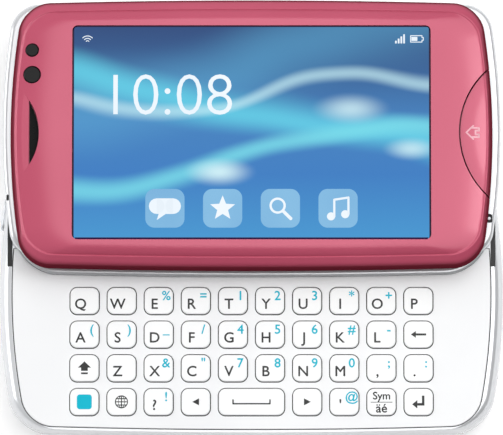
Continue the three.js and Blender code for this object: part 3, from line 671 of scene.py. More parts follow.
def pad_outline(grow):
    """The outline of the raised pad, grown all round."""
    return outline(PAD_LENGTH + 2 * grow, COVER_WIDTH + 2 * (PAD_SHOW + grow), PAD_CORNER + grow,
                   COVER_END_RADIUS, COVER_SIDE_RADIUS)


plate_shape = crowned(plate_outline(-SEAM_SHADE_IN), [station(PLATE_BOTTOM)],
                      station(PLATE_TOP - PLATE_EDGE), station(PLATE_TOP, PLATE_EDGE), steps=4)
plate = made("keyboard_panel", front_of(plate_shape, PLATE_REAR), BASE_MIDDLE)

pad_shape = crowned(pad_outline(0), [station(PLATE_TOP - PAD_POCKET)], station(PLATE_TOP),
                    station(PAD_TOP, PAD_EDGE), steps=5)
pad = made("slide_pad", front_of(pad_shape, PLATE_REAR - SLIDE_TRAVEL - SEAM), SLIDER_MIDDLE)
pad_limit = prism(plate_outline(-SEAM), PLATE_BOTTOM, PAD_TOP + OVERRUN)
cut(pad, [made("pad_limit", pad_limit, BASE_MIDDLE)], "INTERSECT")
finished(pad, silver_white, "lower_half")

pad_pocket = prism(pad_outline(PAD_GAP), PLATE_TOP - PAD_POCKET, PLATE_TOP + OVERRUN)
key_nodes = [f"key_{name}" for row in KEY_ROWS for name in row.split()]
holes = []
for node in key_nodes:
    hole = prism(key_outline(node, KEY_HOLE_GAP), PLATE_BOTTOM - OVERRUN, PLATE_TOP + OVERRUN)
    holes.append(moved(hole, *at_node(node)))
cut(plate, [made("pad_pocket", pad_pocket, SLIDER_MIDDLE), made("holes", gathered(holes))])
plate_white = moulded("plate_white", tone(240, 241, 243), tone(246, 247, 248), 0.3, coat=0.3)
finished(plate, plate_white, "lower_half", ["keyboard_plate"])

# Keys
# Thirty-nine caps of clear-coated white plastic, glued to the silicone mat, whose sides below the
# plate are painted dark grey as shade in the gaps round them. Each rises a third of a millimetre
# through its opening and is held by a skirt below the plate.

KEY_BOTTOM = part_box("key_q")[0].z
KEY_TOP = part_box("key_q")[1].z
KEY_SKIRT_HEIGHT = 0.3 * MM
KEY_ROLL = 0.22 * MM
# Below the first level the caps are painted dark grey as shade in the gaps, above the second they
# are white
GAP_SHADE_BELOW = PLATE_TOP - 0.05 * MM
WHITE_ABOVE = PLATE_TOP + 0.12 * MM
MIX_SHARE = 0
MIX_FIRST = 6
MIX_SECOND = 7
MIX_RESULT = 2


def faded(tree, value, low, high, kind="SMOOTHSTEP"):
    """0 below low, 1 above high, and a change of that kind between them."""
    fade = added(tree, "ShaderNodeMapRange", {"Value": value, "From Min": low, "From Max": high})
    fade.interpolation_type = kind
    return fade.outputs["Result"]


def mixed(tree, share, first, second):
    """A colour between first and second, by a share."""
    mix = tree.nodes.new("ShaderNodeMix")
    mix.data_type = "RGBA"
    filled(tree, mix, {MIX_SHARE: share, MIX_FIRST: first, MIX_SECOND: second})
    return mix.outputs[MIX_RESULT]


def parted(tree, vector):
    """The X, Y and Z of a vector, each as a socket."""
    return added(tree, "ShaderNodeSeparateXYZ", {"Vector": vector}).outputs


def colour_of(material):
    """The socket that a moulded surface takes its colour from."""
    shader = material.node_tree.nodes["Principled BSDF"]
    return shader.inputs["Base Color"].links[0].from_socket


def key_and_gap_shade_finish():
    """White on top, and painted dark grey below the plate as shade in the gaps round the caps."""
    material = moulded("key_white", tone(247, 248, 249), tone(251, 252, 252), 0.25, coat=0.4)
    tree = material.node_tree
    place = tree.nodes.new("ShaderNodeTexCoord").outputs["Object"]
    level = faded(tree, parted(tree, place)["Z"], GAP_SHADE_BELOW, WHITE_ABOVE, "LINEAR")
    # Dark grey painted below the plate as shade in the gaps
    return tuned(material, {"Base Color": mixed(tree, level, tone(56, 56, 56),
                                                colour_of(material))})


key_white = key_and_gap_shade_finish()
for node in key_nodes:
    cap = crowned(key_outline(node, 0),
                  [station(KEY_BOTTOM, -KEY_SKIRT), station(KEY_BOTTOM + KEY_SKIRT_HEIGHT)],
                  station(KEY_TOP - KEY_ROLL), station(KEY_TOP, KEY_ROLL), steps=4)
    finished(made(f"{node}_cap", moved(cap, *at_node(node))), key_white, node, [node])

# Key legends
# Plain letters, numbers and signs, pad-printed on the caps in dark grey, with the second
# characters in blue-green. The ink stands a hundredth of a millimetre above the cap.

INK_HALF = 0.01 * MM
INK_LAYER = (KEY_TOP - INK_HALF, KEY_TOP + INK_HALF)
INK_SHINE = 0.15
LETTER_HEIGHT = 1.85 * MM
SECOND_HEIGHT = 1.65 * MM
LETTER_AT = (-0.74 * MM, -0.55 * MM)
SECOND_AT = (1.38 * MM, 0.98 * MM)
LETTER_WEIGHT = 0.04 * MM
STRIKE_STEP = 0.002 * MM
LETTER_WELD = 1e-5
SPACE_LINE = 0.26 * MM
GLOBE_RADIUS = 1.2 * MM
GLOBE_LINE = 0.18 * MM
GLOBE_REACH = 1.0 * MM
PARALLEL = 0.5 * MM
SYM_HEIGHT = 1.35 * MM
ACCENT_HEIGHT = 1.6 * MM
SYM_RISE = 1.15 * MM
SYM_REACH = 2.0 * MM
SYM_LINE = 0.12 * MM
PATCH_SIZE = 2.75 * MM
PATCH_CORNER = 0.55 * MM
MARKS = {"comma": ",", "period": ".", "question": "?", "apostrophe": "'"}
SECOND_LEGENDS = dict(zip("ertyuioasdfghjklxcvbnm", '%=123*+()_/456#-&"7890'),
                      comma=";", period=":", question="!", apostrophe="@")

# The outlines of the drawn signs, in millimetres from the middle of their key
DRAWN_SIGNS = {
    "shift": [[(0, 1.25), (-1.2, 0.1), (-0.62, 0.1), (-0.62, -0.5), (0.62, -0.5), (0.62, 0.1),
               (1.2, 0.1)],
              [(-0.62, -1.12), (0.62, -1.12), (0.62, -0.8), (-0.62, -0.8)]],
    "backspace": [[(-1.4, 0), (-0.48, -0.62), (-0.48, -0.19), (1.4, -0.19), (1.4, 0.19),
                   (-0.48, 0.19), (-0.48, 0.62)]],
    "enter": [[(-1.2, -0.46), (-0.25, -1.24), (-0.25, -0.69), (1.05, -0.69), (1.05, 1.15),
               (0.6, 1.15), (0.6, -0.23), (-0.25, -0.23), (-0.25, 0.32)]],
    "left": [[(-0.65, 0), (0.6, -0.65), (0.6, 0.65)]],
    "right": [[(0.65, 0), (-0.6, -0.65), (-0.6, 0.65)]],
}
SPACE_SIGN = [(-3.4, 0.35), (-3.4, -0.35), (3.4, -0.35), (3.4, 0.35)]


def written(words, thick=0.0):
    """Plain lettering in the font's own size, one unit deep and closed all round."""
    curve = bpy.data.curves.new("letters", "FONT")
    curve.body = words
    curve.resolution_u = 4
    curve.extrude = 0.5
    curve.offset = thick
    thing = bpy.data.objects.new("letters", curve)
    bpy.context.collection.objects.link(thing)
    graph = bpy.context.evaluated_depsgraph_get()
    mesh = bpy.data.meshes.new_from_object(thing.evaluated_get(graph))
    bpy.data.objects.remove(thing)
    shape = bmesh.new()
    shape.from_mesh(mesh)
    bpy.data.meshes.remove(mesh)
    bmesh.ops.remove_doubles(shape, verts=shape.verts, dist=LETTER_WELD)
    return shape


capital = written("H")
capital_levels = [vert.co.y for vert in capital.verts]
CAPITAL_SHARE = max(capital_levels) - min(capital_levels)
capital.free()


def letters(words, height, layer, x=0.0, y=0.0, thick=0.0):
    """Plain upright lettering, of that capital height, centred at x, y."""
    shape = written(words, thick)
    bottom, top = layer
    size = height / CAPITAL_SHARE
    bmesh.ops.scale(shape, vec=(size, size, top - bottom), verts=shape.verts)
    left = min(vert.co.x for vert in shape.verts)
    right = max(vert.co.x for vert in shape.verts)
    return moved(shape, x - (left + right) / 2, y - height / 2, (bottom + top) / 2)


def heavier(shape):
    """Lettering struck four times, a little apart and over another, so its strokes are wider."""
    strikes = []
    for level, (step_x, step_y) in enumerate([(-1, 0), (1, 0), (0, -1), (0, 1)]):
        strikes.append(moved(shape.copy(), step_x * LETTER_WEIGHT, step_y * LETTER_WEIGHT,
                             level * STRIKE_STEP))
    shape.free()
    return gathered(strikes)


def stroke(points, width, layer):
    """Straight bars of one width between points given in millimetres, with round joints."""
    points = [(x * MM, y * MM) for x, y in points]
    bars = []
    for (x0, y0), (x1, y1) in zip(points, points[1:]):
        bar = block(0, math.hypot(x1 - x0, y1 - y0), -width / 2, width / 2, *layer)
        bars.append(moved(bar, x0, y0, turn=math.atan2(y1 - y0, x1 - x0)))
    bars.extend(disc(width / 2, x, y, *layer, steps=16) for x, y in points)
    return gathered(bars)


def ring(radius, width, layer, narrow=1.0):
    """A flat ring, drawn in along X where narrow is less than one."""
    shape = hoop(radius - width, radius, *layer, steps=40)
    bmesh.ops.scale(shape, vec=(narrow, 1, 1), verts=shape.verts)
    return shape


def cutout(points, layer):
    """A closed plate over an outline of straight sides between points given in millimetres."""
    shape = bmesh.new()
    shape.faces.new([shape.verts.new((x * MM, y * MM, 0)) for x, y in points])
    return prism(shape, *layer)


def globe():
    """Two rings, a cross and two parallels."""
    half = GLOBE_LINE / 2
    return gathered([ring(GLOBE_RADIUS, GLOBE_LINE, INK_LAYER),
                     ring(GLOBE_RADIUS, GLOBE_LINE, INK_LAYER, narrow=0.5),
                     block(-GLOBE_REACH, GLOBE_REACH, -half, half, *INK_LAYER),
                     block(-half, half, -GLOBE_REACH, GLOBE_REACH, *INK_LAYER),
                     block(-GLOBE_REACH, GLOBE_REACH, PARALLEL, PARALLEL + GLOBE_LINE, *INK_LAYER),
                     block(-GLOBE_REACH, GLOBE_REACH, -PARALLEL - GLOBE_LINE, -PARALLEL,
                           *INK_LAYER)])


def symbol_sign():
    """A word over a line, and two letters with accents under it."""
    line = block(-SYM_REACH, SYM_REACH, -SYM_LINE, 0, *INK_LAYER)
    return gathered([heavier(letters("Sym", SYM_HEIGHT, INK_LAYER, y=SYM_RISE)), line,
                     heavier(letters("\u00e4\u00e9", ACCENT_HEIGHT, INK_LAYER, y=-SYM_RISE))])


def key_sign(name):
    """What is printed on the middle of a key: its letter or mark, or its drawn sign."""
    if len(name) == 1 or name in MARKS:
        words = MARKS.get(name, name.upper())
        return heavier(letters(words, LETTER_HEIGHT, INK_LAYER, *LETTER_AT))
    if name in DRAWN_SIGNS:
        return gathered([cutout(points, INK_LAYER) for points in DRAWN_SIGNS[name]])
    if name == "space":
        return stroke(SPACE_SIGN, SPACE_LINE, INK_LAYER)
    if name == "language":
        return globe()
    if name == "shortcut":
        return slab(PATCH_SIZE, PATCH_SIZE, PATCH_CORNER, *INK_LAYER)
    return symbol_sign()


ink_grey = moulded("ink_grey", tone(56, 56, 56), tone(66, 66, 66), 0.5)
ink_teal = moulded("ink_teal", tone(0, 180, 206), tone(8, 190, 214), 0.45)
tuned(ink_grey, {"Specular IOR Level": INK_SHINE})
tuned(ink_teal, {"Specular IOR Level": INK_SHINE})
for node in key_nodes:
    name = node.removeprefix("key_")
    ink, slot = (ink_teal, "legend_teal") if name == "shortcut" else (ink_grey, "legend_grey")
    sign = moved(key_sign(name), *at_node(node))
    finished(made(f"legend_{name}", sign), ink, node, sharp=0)
    if name in SECOND_LEGENDS:
        second = heavier(letters(SECOND_LEGENDS[name], SECOND_HEIGHT, INK_LAYER, *SECOND_AT))
        finished(made(f"second_{name}", moved(second, *at_node(node))), ink_teal,
                 node, sharp=0)

# Slider shell
# The silver-white rear tray of the upper half. Its floor has two slots for the slide's shoes and
# four screws that hold the front cover. Its rolled edge shows at both ends beside the cover.

SHELL_LOW, SHELL_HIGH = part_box("slider_shell")
SHELL_LENGTH = SHELL_HIGH.x - SHELL_LOW.x
SHELL_WIDTH = SHELL_HIGH.y - SHELL_LOW.y
SHELL_MIDDLE = (SHELL_LOW.y + SHELL_HIGH.y) / 2
SHELL_BOTTOM = SHELL_LOW.z
SHELL_TOP = COVER_LOW.z - SEAM
SHELL_CORNER = 4.5 * MM
SHELL_END_RADIUS = 140 * MM
SHELL_SIDE_RADIUS = 1400 * MM
SHELL_ROLL = 1.6 * MM
SHELL_ROLL_HEIGHT = 1.5 * MM
SHELL_LIP = 0.9 * MM
SHELL_END_WALL = 3.0 * MM
SHELL_SIDE_WALL = 1.6 * MM
SHELL_FLOOR_TOP = SHELL_BOTTOM + 0.9 * MM
SLOT_WIDTH = 4.2 * MM
SLOT_CORNER = 0.9 * MM
SHOE_INSET = 6 * MM
SHOE_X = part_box("slide_bracket")[1].x - SHOE_INSET
SHOE_Y = at_node("slide_bracket")[1]
SHOE_REACH = 5.0 * MM
SHOE_PLAY = 0.6 * MM
SLOT_LENGTH = SLIDE_TRAVEL + 2 * (SHOE_REACH + SHOE_PLAY)

shell_waist = station(SHELL_BOTTOM + SHELL_ROLL_HEIGHT)
shell_under = [shell_waist, *rolled(shell_waist, station(SHELL_BOTTOM, SHELL_ROLL))]
shell_shape = crowned(outline(SHELL_LENGTH, SHELL_WIDTH, SHELL_CORNER, SHELL_END_RADIUS,
                              SHELL_SIDE_RADIUS), reversed(shell_under),
                      station(SHELL_TOP - SHELL_LIP), station(SHELL_TOP, SHELL_LIP), steps=5)
shell = made("slider_tray", shell_shape, SHELL_MIDDLE)

shell_hollow = prism(outline(SHELL_LENGTH - 2 * SHELL_END_WALL, SHELL_WIDTH - 2 * SHELL_SIDE_WALL,
                             SHELL_CORNER - SHELL_SIDE_WALL, SHELL_END_RADIUS, SHELL_SIDE_RADIUS),
                     SHELL_FLOOR_TOP, SHELL_TOP + OVERRUN)
shell_tools = [made("hollow", shell_hollow, SHELL_MIDDLE)]
for side in (-1, 1):
    shoe_slot = slab(SLOT_WIDTH, SLOT_LENGTH, SLOT_CORNER, SHELL_BOTTOM - OVERRUN,
                     SHELL_FLOOR_TOP + OVERRUN)
    shell_tools.append(made("shoe_slot", moved(shoe_slot, side * SHOE_X,
                                               SHOE_Y + SLIDE_TRAVEL / 2)))

# A strap notch with a steel pin at the right end, and a microphone hole at the left end, each
# with its width, length and corner. Both have a black plug at their floor, which paints shade in
# the hole.
NOTCH_PLACE = (43.8 * MM, SLIDER_MIDDLE - 15.2 * MM)
MICROPHONE_PLACE = (-44.95 * MM, SLIDER_MIDDLE - 11.3 * MM)
EDGE_HOLES = [(NOTCH_PLACE, 1.1 * MM, 1.7 * MM, 0.4 * MM),
              (MICROPHONE_PLACE, 0.45 * MM, 1.1 * MM, 0.2 * MM)]
EDGE_HOLE_BOTTOM = SHELL_TOP - 1.2 * MM
PLUG_GAP = SEAM / 5
PLUG_HEIGHT = 0.48 * MM
PIN_RADIUS = 0.28 * MM
PIN_DEPTH = 1.3 * MM
PIN_DROP = 0.05 * MM
shade_plugs = []
for place, width, length, corner in EDGE_HOLES:
    hole = slab(width, length, corner, EDGE_HOLE_BOTTOM, SHELL_TOP + OVERRUN)
    shell_tools.append(made("edge_hole", moved(hole, *place)))
    # A black plug that paints shade at the hole's floor
    plug = slab(width - PLUG_GAP, length - PLUG_GAP, width / 3, EDGE_HOLE_BOTTOM,
                EDGE_HOLE_BOTTOM + PLUG_HEIGHT)
    shade_plugs.append(moved(plug, *place))

SCREW_RADIUS = 1.15 * MM
SCREW_DEPTH = 0.25 * MM
SCREW_X = 40.6 * MM
SCREW_Y = 19.2 * MM
SCREW_LOW = SHELL_BOTTOM + SCREW_DEPTH / 2
SCREW_HIGH = SCREW_LOW + 2 * SCREW_DEPTH
BIT_RADIUS = 0.45 * SCREW_RADIUS
BEVEL_RADIUS = 0.85 * SCREW_RADIUS
screw_profile = [(0, SCREW_LOW + SCREW_DEPTH), (BIT_RADIUS, SCREW_LOW + SCREW_DEPTH),
                 (BIT_RADIUS, SCREW_LOW), (BEVEL_RADIUS, SCREW_LOW),
                 (SCREW_RADIUS, SCREW_LOW + SCREW_DEPTH / 3), (SCREW_RADIUS, SCREW_HIGH),
                 (0, SCREW_HIGH)]
screws = []
for side_x in (-1, 1):
    for side_y in (-1, 1):
        screw_place = (side_x * SCREW_X, SHELL_MIDDLE + side_y * SCREW_Y)
        pocket = disc(SCREW_RADIUS + SEAM, *screw_place, SHELL_BOTTOM - OVERRUN,
                      SHELL_BOTTOM + 2 * SCREW_DEPTH, steps=32)
        shell_tools.append(made("screw_pocket", pocket))
        screws.append(turned(screw_profile, *screw_place, steps=48))
cut(shell, shell_tools)
finished(shell, silver_white, "upper_half", ["slider_shell"])
finished(made("shell_screws", gathered(screws)), steel, "upper_half")
finished(made("shell_hole_shade_plugs", gathered(shade_plugs)), black_plastic, "upper_half")
pin = disc(PIN_RADIUS, *NOTCH_PLACE, SHELL_TOP - PIN_DEPTH, SHELL_TOP - PIN_DROP, steps=24)
finished(made("strap_pin", pin), steel, "upper_half")

# Rail, chassis and panel
# The slotted steel rail, the display's pressed steel chassis and the panel itself lie inside the
# upper half, screwed to its tray. Only the rail shows, through the slots.

dressed("slide_rail", steel)
dressed("display_chassis", steel)
dressed("display_panel", moulded("display_black", tone(14, 14, 16), tone(20, 20, 22), 0.3))

# Front cover
# The pink frame round the screen. It is moulded in tinted ABS with a pearl lacquer, and deep maroon
# is painted on its steep walls as shade. Its wall leans in to a narrow bead, and its face climbs
# from there.

COVER_BOTTOM = COVER_LOW.z
COVER_TOP = COVER_HIGH.z
COVER_CORNER = 5.2 * MM
COVER_FOOT = 0.3 * MM
COVER_SHARP = 35
CREST_TOP = COVER_BOTTOM + 4.5 * MM
SCOOP_TOP = CREST_TOP - 0.1 * MM
WALL_STATION = station(CREST_TOP - 2.3 * MM)
WALL_KNEE = station(CREST_TOP - 1.0 * MM)
BEAD_STATION = station(CREST_TOP - 0.3 * MM, 0.6 * MM, 1.4 * MM)
BEAD_KNEE = station(CREST_TOP, 0.78 * MM, 1.9 * MM)
CREST_STATION = station(CREST_TOP, 0.92 * MM, 1.95 * MM)
SCOOP_STATION = station(SCOOP_TOP, 1.2 * MM, 2.15 * MM)
FACE_STATION = station(COVER_TOP, 8.4 * MM, 4.3 * MM)
BEAD_STEPS = 10
CREST_STEPS = 5
SCOOP_STEPS = 5
FACE_STEPS = 26
CROWN_STEP = 0.3 * MM


def shares(steps):
    """Even shares of a way, from the first step to the whole."""
    return [step / steps for step in range(1, steps + 1)]


def eased(start, end, rise, steps):
    """Stations from start to end, whose height follows the rise at each share of the way."""
    stations = []
    for share in shares(steps):
        after = start + (end - start) * share
        after.z = start.z + (end.z - start.z) * rise(share)
        stations.append(after)
    return stations


def bent(start, knee, end, steps):
    """Stations of a curve that leaves start towards knee and arrives at end from knee."""
    return [start * (1 - share) ** 2 + knee * 2 * share * (1 - share) + end * share ** 2
            for share in shares(steps)]


def swing(share):
    """A rise that starts and ends level."""
    return share ** 2 * (3 - 2 * share)


def climb(share):
    """A rise that ends level."""
    return 1 - (1 - share) ** 2


def cover_height(x, y):
    """How high the cover's face stands at a place near an end."""
    inset = COVER_LENGTH / 2 - abs(x) - y ** 2 / (2 * COVER_END_RADIUS)
    share = (inset - SCOOP_STATION.x) / (FACE_STATION.x - SCOOP_STATION.x)
    return SCOOP_TOP + (COVER_TOP - SCOOP_TOP) * climb(min(max(share, 0), 1))


def cover_blank(crown_steps=1):
    """The cover before its openings are cut, with that many rings across its face's border."""
    crown = [FACE_STATION + Vector((step * CROWN_STEP, step * CROWN_STEP, 0))
             for step in range(1, crown_steps)]
    shape = outline(COVER_LENGTH, COVER_WIDTH, COVER_CORNER, COVER_END_RADIUS, COVER_SIDE_RADIUS)
    return raised(shape, [station(COVER_BOTTOM, COVER_FOOT),
                          station(COVER_BOTTOM + 2 * COVER_FOOT), WALL_STATION,
                          *bent(WALL_STATION, WALL_KNEE, BEAD_STATION, BEAD_STEPS),
                          *bent(BEAD_STATION, BEAD_KNEE, CREST_STATION, CREST_STEPS),
                          *eased(CREST_STATION, SCOOP_STATION, swing, SCOOP_STEPS),
                          *eased(SCOOP_STATION, FACE_STATION, climb, FACE_STEPS), *crown])


PEARL = 0.15
CLEAR_COAT = 0.9
PEARL_ROUGHNESS = 0.22
# Heights of the surface normal for the painted shade: full deep maroon below the first, plain pink
# above the second
WALL_SHADE_FULL_BELOW = 0.5
WALL_SHADE_NONE_ABOVE = 0.88


def node_value(tree, operation, *terms):
    """A math node over numbers or sockets, and its result."""
    step = tree.nodes.new("ShaderNodeMath")
    step.operation = operation
    return filled(tree, step, dict(enumerate(terms))).outputs["Value"]


def pink_with_wall_shade_finish():
    """Pearl pink under a clear coat; steep surfaces are dull and painted deep maroon as shade."""
    material = moulded("cover_pink", tone(192, 80, 106), tone(197, 85, 111), 0.3)
    tree = material.node_tree
    facing = tree.nodes.new("ShaderNodeTexCoord").outputs["Normal"]
    level = faded(tree, parted(tree, facing)["Z"], WALL_SHADE_FULL_BELOW, WALL_SHADE_NONE_ABOVE)
    return tuned(material, {
        # Deep maroon painted on steep surfaces as shade on the walls
        "Base Color": mixed(tree, level, tone(112, 36, 50), colour_of(material)),
        "Metallic": node_value(tree, "MULTIPLY", level, PEARL),
        "Coat Weight": node_value(tree, "MULTIPLY", level, CLEAR_COAT),
        "Coat Roughness": PEARL_ROUGHNESS,
        "Specular IOR Level": 0,
    })


WINDOW_LOW, WINDOW_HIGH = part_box("touch_window")
WINDOW_LENGTH = WINDOW_HIGH.x - WINDOW_LOW.x
WINDOW_WIDTH = WINDOW_HIGH.y - WINDOW_LOW.y
WINDOW_GAP = 0.15 * MM
WINDOW_CORNER = 1.0 * MM
HOME_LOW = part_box("home_key")[0]
HOME_RADIUS = 15.8 * MM
HOME_X = HOME_LOW.x + HOME_RADIUS
HOME_GAP = 0.26 * MM
HOME_CLEARANCE = 0.35 * MM
HOME_DIP = 0.3 * MM
HOME_DIP_REACH = 2.8 * MM
EAR_RIGHT = -39.1 * MM
EAR_LEFT = -40.95 * MM
EAR_NOTCH_LEFT = -42.3 * MM
EAR_NOTCH_SLOPE = 0.1
EAR_RADIUS = 10.7 * MM
EAR_FLOOR = COVER_BOTTOM + 3.5 * MM
SENSOR_X = -40.4 * MM
SENSORS = [(15.4 * MM, 1.18 * MM), (10.8 * MM, 1.55 * MM)]
SENSOR_GAP = 0.1 * MM
SENSOR_HOLE_BOTTOM = COVER_BOTTOM + 2.0 * MM
COVER_ABOVE = COVER_TOP + OVERRUN
FINE_STEPS = 160


def crescent(radius, left, bottom, top):
    """The part of the earpiece's upright disc to the right of a line, closed along the line."""
    shape = disc(radius, EAR_RIGHT - EAR_RADIUS, 0, bottom, top, steps=FINE_STEPS)
    return halved(shape, (left, 0, 0), (-1, 0, 0))


opening = slab(WINDOW_LENGTH + 2 * WINDOW_GAP, WINDOW_WIDTH + 2 * WINDOW_GAP, WINDOW_CORNER,
               COVER_BOTTOM - OVERRUN, COVER_ABOVE)
home_cut = disc(HOME_RADIUS + HOME_GAP, HOME_X, 0, HOME_LOW.z - HOME_CLEARANCE, COVER_ABOVE,
                steps=FINE_STEPS)
ear_cut = crescent(EAR_RADIUS, EAR_LEFT, EAR_FLOOR, COVER_ABOVE)
ear_notch = crescent(EAR_RADIUS + SEAM / 5, EAR_NOTCH_LEFT, 0, COVER_ABOVE)
for vert in ear_notch.verts:
    if vert.co.z < COVER_BOTTOM:
        vert.co.z = (cover_height(EAR_NOTCH_LEFT, 0)
                     + EAR_NOTCH_SLOPE * (vert.co.x - EAR_NOTCH_LEFT))
sensor_holes = [disc(radius + SENSOR_GAP, SENSOR_X, y, SENSOR_HOLE_BOTTOM, COVER_ABOVE)
                for y, radius in SENSORS]
cover = made("cover_frame", cover_blank(), SLIDER_MIDDLE)
cut(cover, [made("opening", shape, SLIDER_MIDDLE)
            for shape in (opening, home_cut, ear_cut, ear_notch, *sensor_holes)])
cover_pink = pink_with_wall_shade_finish()
finished(cover, cover_pink, "upper_half", ["front_cover"], sharp=COVER_SHARP)

# Home key
# The lens-shaped key in the cover's right end. It is moulded from the same pink as the cover,
# dips a little towards its curved seam, and presses down on a dome behind the screen.

HOME_CROWN_STEPS = 14


def home_dip(x, y):
    """How far the key's top lies below the cover's surface, which is most at the curved seam."""
    from_seam = HOME_RADIUS - math.hypot(x - HOME_X, y)
    share = min(max(1 - from_seam / HOME_DIP_REACH, 0), 1)
    return HOME_DIP * share ** 2


home_blank = cover_blank(HOME_CROWN_STEPS)
for vert in home_blank.verts:
    if vert.co.z > CREST_TOP - OVERRUN:
        vert.co.z -= home_dip(vert.co.x, vert.co.y)
home = made("home_cap", home_blank, SLIDER_MIDDLE)
home_lens = disc(HOME_RADIUS, HOME_X, 0, HOME_LOW.z, COVER_ABOVE, steps=FINE_STEPS)
cut(home, [made("home_lens", home_lens, SLIDER_MIDDLE)], "INTERSECT")
finished(home, cover_pink, "home_key", ["home_key"], sharp=COVER_SHARP)

# Home sign
# A small outline of a house, with its roof to the left. It is pad-printed in pale pink on the
# home key, and follows the curve of the key's face.

SIGN_WIDTH = 0.28 * MM
SIGN_PLACE = 40.7 * MM
SIGN_LIFT = 0.02 * MM
SIGN_CUTS = 5
ROOF = [(0.1, 1.25), (-1.2, 0), (0.1, -1.25)]
WALLS = [(-0.3, 0.85), (1.15, 0.85), (1.15, 0.35), (0.5, 0.35), (0.5, -0.35), (1.15, -0.35),
         (1.15, -0.85), (-0.3, -0.85)]

house = gathered([stroke(points, SIGN_WIDTH, (-SIGN_LIFT, SIGN_LIFT)) for points in (ROOF, WALLS)])
long_edges = [edge for edge in house.edges if edge.calc_length() > 2 * SIGN_WIDTH]
bmesh.ops.subdivide_edges(house, edges=long_edges, cuts=SIGN_CUTS, use_grid_fill=True)
moved(house, SIGN_PLACE)
for vert in house.verts:
    vert.co.z += cover_height(vert.co.x, vert.co.y) - home_dip(vert.co.x, vert.co.y)
ink_pink = moulded("ink_pink", tone(238, 176, 188), tone(243, 186, 197), 0.4)
finished(made("home_sign", house, SLIDER_MIDDLE), ink_pink, "home_key", sharp=0)

# Touch window
# The clear plate over the display, flush with the cover's face, with a thin black printed edge.
# Its picture is a plain drift of blue light with soft cyan ribbons and white glows.

PICTURE_LENGTH = 65.3 * MM
PICTURE_WIDTH = 39.2 * MM
WINDOW_TOP = WINDOW_HIGH.z
WINDOW_EDGE = 0.08 * MM
WINDOW_DROP = 0.02 * MM
SCREEN_LIGHT = 0.95

# The colour, height, slope, waves, width and strength of each ribbon, and the place, size and
# strength of each glow, where the picture reaches from -1 to 1 both ways
RIBBONS = [(tone(92, 178, 222), 0.42, 0.34, 2.3, 0.30, 0.45),
           (tone(96, 212, 236), -0.05, -0.42, 1.7, 0.16, 0.8),
           (tone(120, 224, 238), -0.48, 0.26, 2.9, 0.10, 0.75),
           (tone(196, 238, 248), 0.12, 0.16, 3.4, 0.05, 0.6)]
RIBBON_SWELL = 0.13
RIBBON_WARP = 0.5
RIBBON_SOFTNESS = 1.8
GLOWS = [(0.56, 0.22, 0.24, 0.7), (-0.18, -0.38, 0.22, 0.9), (0.9, -0.16, 0.18, 0.7)]
GLOW_FLATNESS = 1.4
FALL_OF_BLUE = [(0.0, tone(62, 150, 210)), (0.3, tone(52, 124, 196)), (0.55, tone(60, 128, 192)),
                (0.8, tone(44, 94, 150)), (1.0, tone(34, 70, 124))]


def ribbon_share(tree, x, y, warp, height, slope, waves, width, strength):
    """How much of a ribbon shows at a place."""
    swell = node_value(tree, "SINE", node_value(tree, "MULTIPLY", x, waves))
    line = node_value(tree, "MULTIPLY_ADD", x, slope, height)
    line = node_value(tree, "MULTIPLY_ADD", swell, RIBBON_SWELL, line)
    line = node_value(tree, "MULTIPLY_ADD", warp, RIBBON_WARP, line)
    away = node_value(tree, "ABSOLUTE", node_value(tree, "SUBTRACT", y, line))
    return node_value(tree, "MULTIPLY", faded(tree, away, width * RIBBON_SOFTNESS, 0), strength)


def glow_share(tree, x, y, glow_x, glow_y, size, strength):
    """How much of a glow shows at a place."""
    over = node_value(tree, "SUBTRACT", x, glow_x)
    up = node_value(tree, "MULTIPLY", node_value(tree, "SUBTRACT", y, glow_y), GLOW_FLATNESS)
    square = node_value(tree, "MULTIPLY", over, over)
    apart = node_value(tree, "SQRT", node_value(tree, "MULTIPLY_ADD", up, up, square))
    return node_value(tree, "MULTIPLY", faded(tree, apart, size, 0), strength)


def picture_finish():
    """The lit screen under its clear plate: ribbons and glows over a fall of blue."""
    material = bpy.data.materials.new("display_picture")
    material.use_nodes = True
    tree = material.node_tree
    middle = added(tree, "ShaderNodeMapping", {
        "Vector": tree.nodes.new("ShaderNodeTexCoord").outputs["Object"],
        "Location": (0, -SLIDER_MIDDLE / (PICTURE_WIDTH / 2), 0),
        "Scale": (2 / PICTURE_LENGTH, 2 / PICTURE_WIDTH, 0),
    }).outputs["Vector"]
    x, y, _ = parted(tree, middle)
    fall = added(tree, "ShaderNodeValToRGB", {"Fac": node_value(tree, "MULTIPLY_ADD", y, 0.5, 0.5)})
    stops = fall.color_ramp.elements
    while len(stops) < len(FALL_OF_BLUE):
        stops.new(0.5)
    for stop, (position, colour) in zip(stops, FALL_OF_BLUE):
        stop.position = position
        stop.color = colour
    colour = fall.outputs["Color"]
    warp = added(tree, "ShaderNodeTexNoise", {"Vector": middle, "Scale": 0.9, "Detail": 1})
    for light, *ribbon in RIBBONS:
        share = ribbon_share(tree, x, y, warp.outputs["Fac"], *ribbon)
        colour = mixed(tree, share, colour, light)
    for glow in GLOWS:
        colour = mixed(tree, glow_share(tree, x, y, *glow), colour, tone(214, 246, 252))
    lit_x = node_value(tree, "LESS_THAN", node_value(tree, "ABSOLUTE", x), 1)
    lit_y = node_value(tree, "LESS_THAN", node_value(tree, "ABSOLUTE", y), 1)
    lit = node_value(tree, "MULTIPLY", lit_x, lit_y)
    return tuned(material, {
        "Base Color": tone(8, 9, 14),
        "Roughness": 0.06,
        "IOR": 1.5,
        "Specular IOR Level": 0.15,
        "Emission Color": mixed(tree, lit, tone(34, 16, 62), colour),
        "Emission Strength": SCREEN_LIGHT,
    })


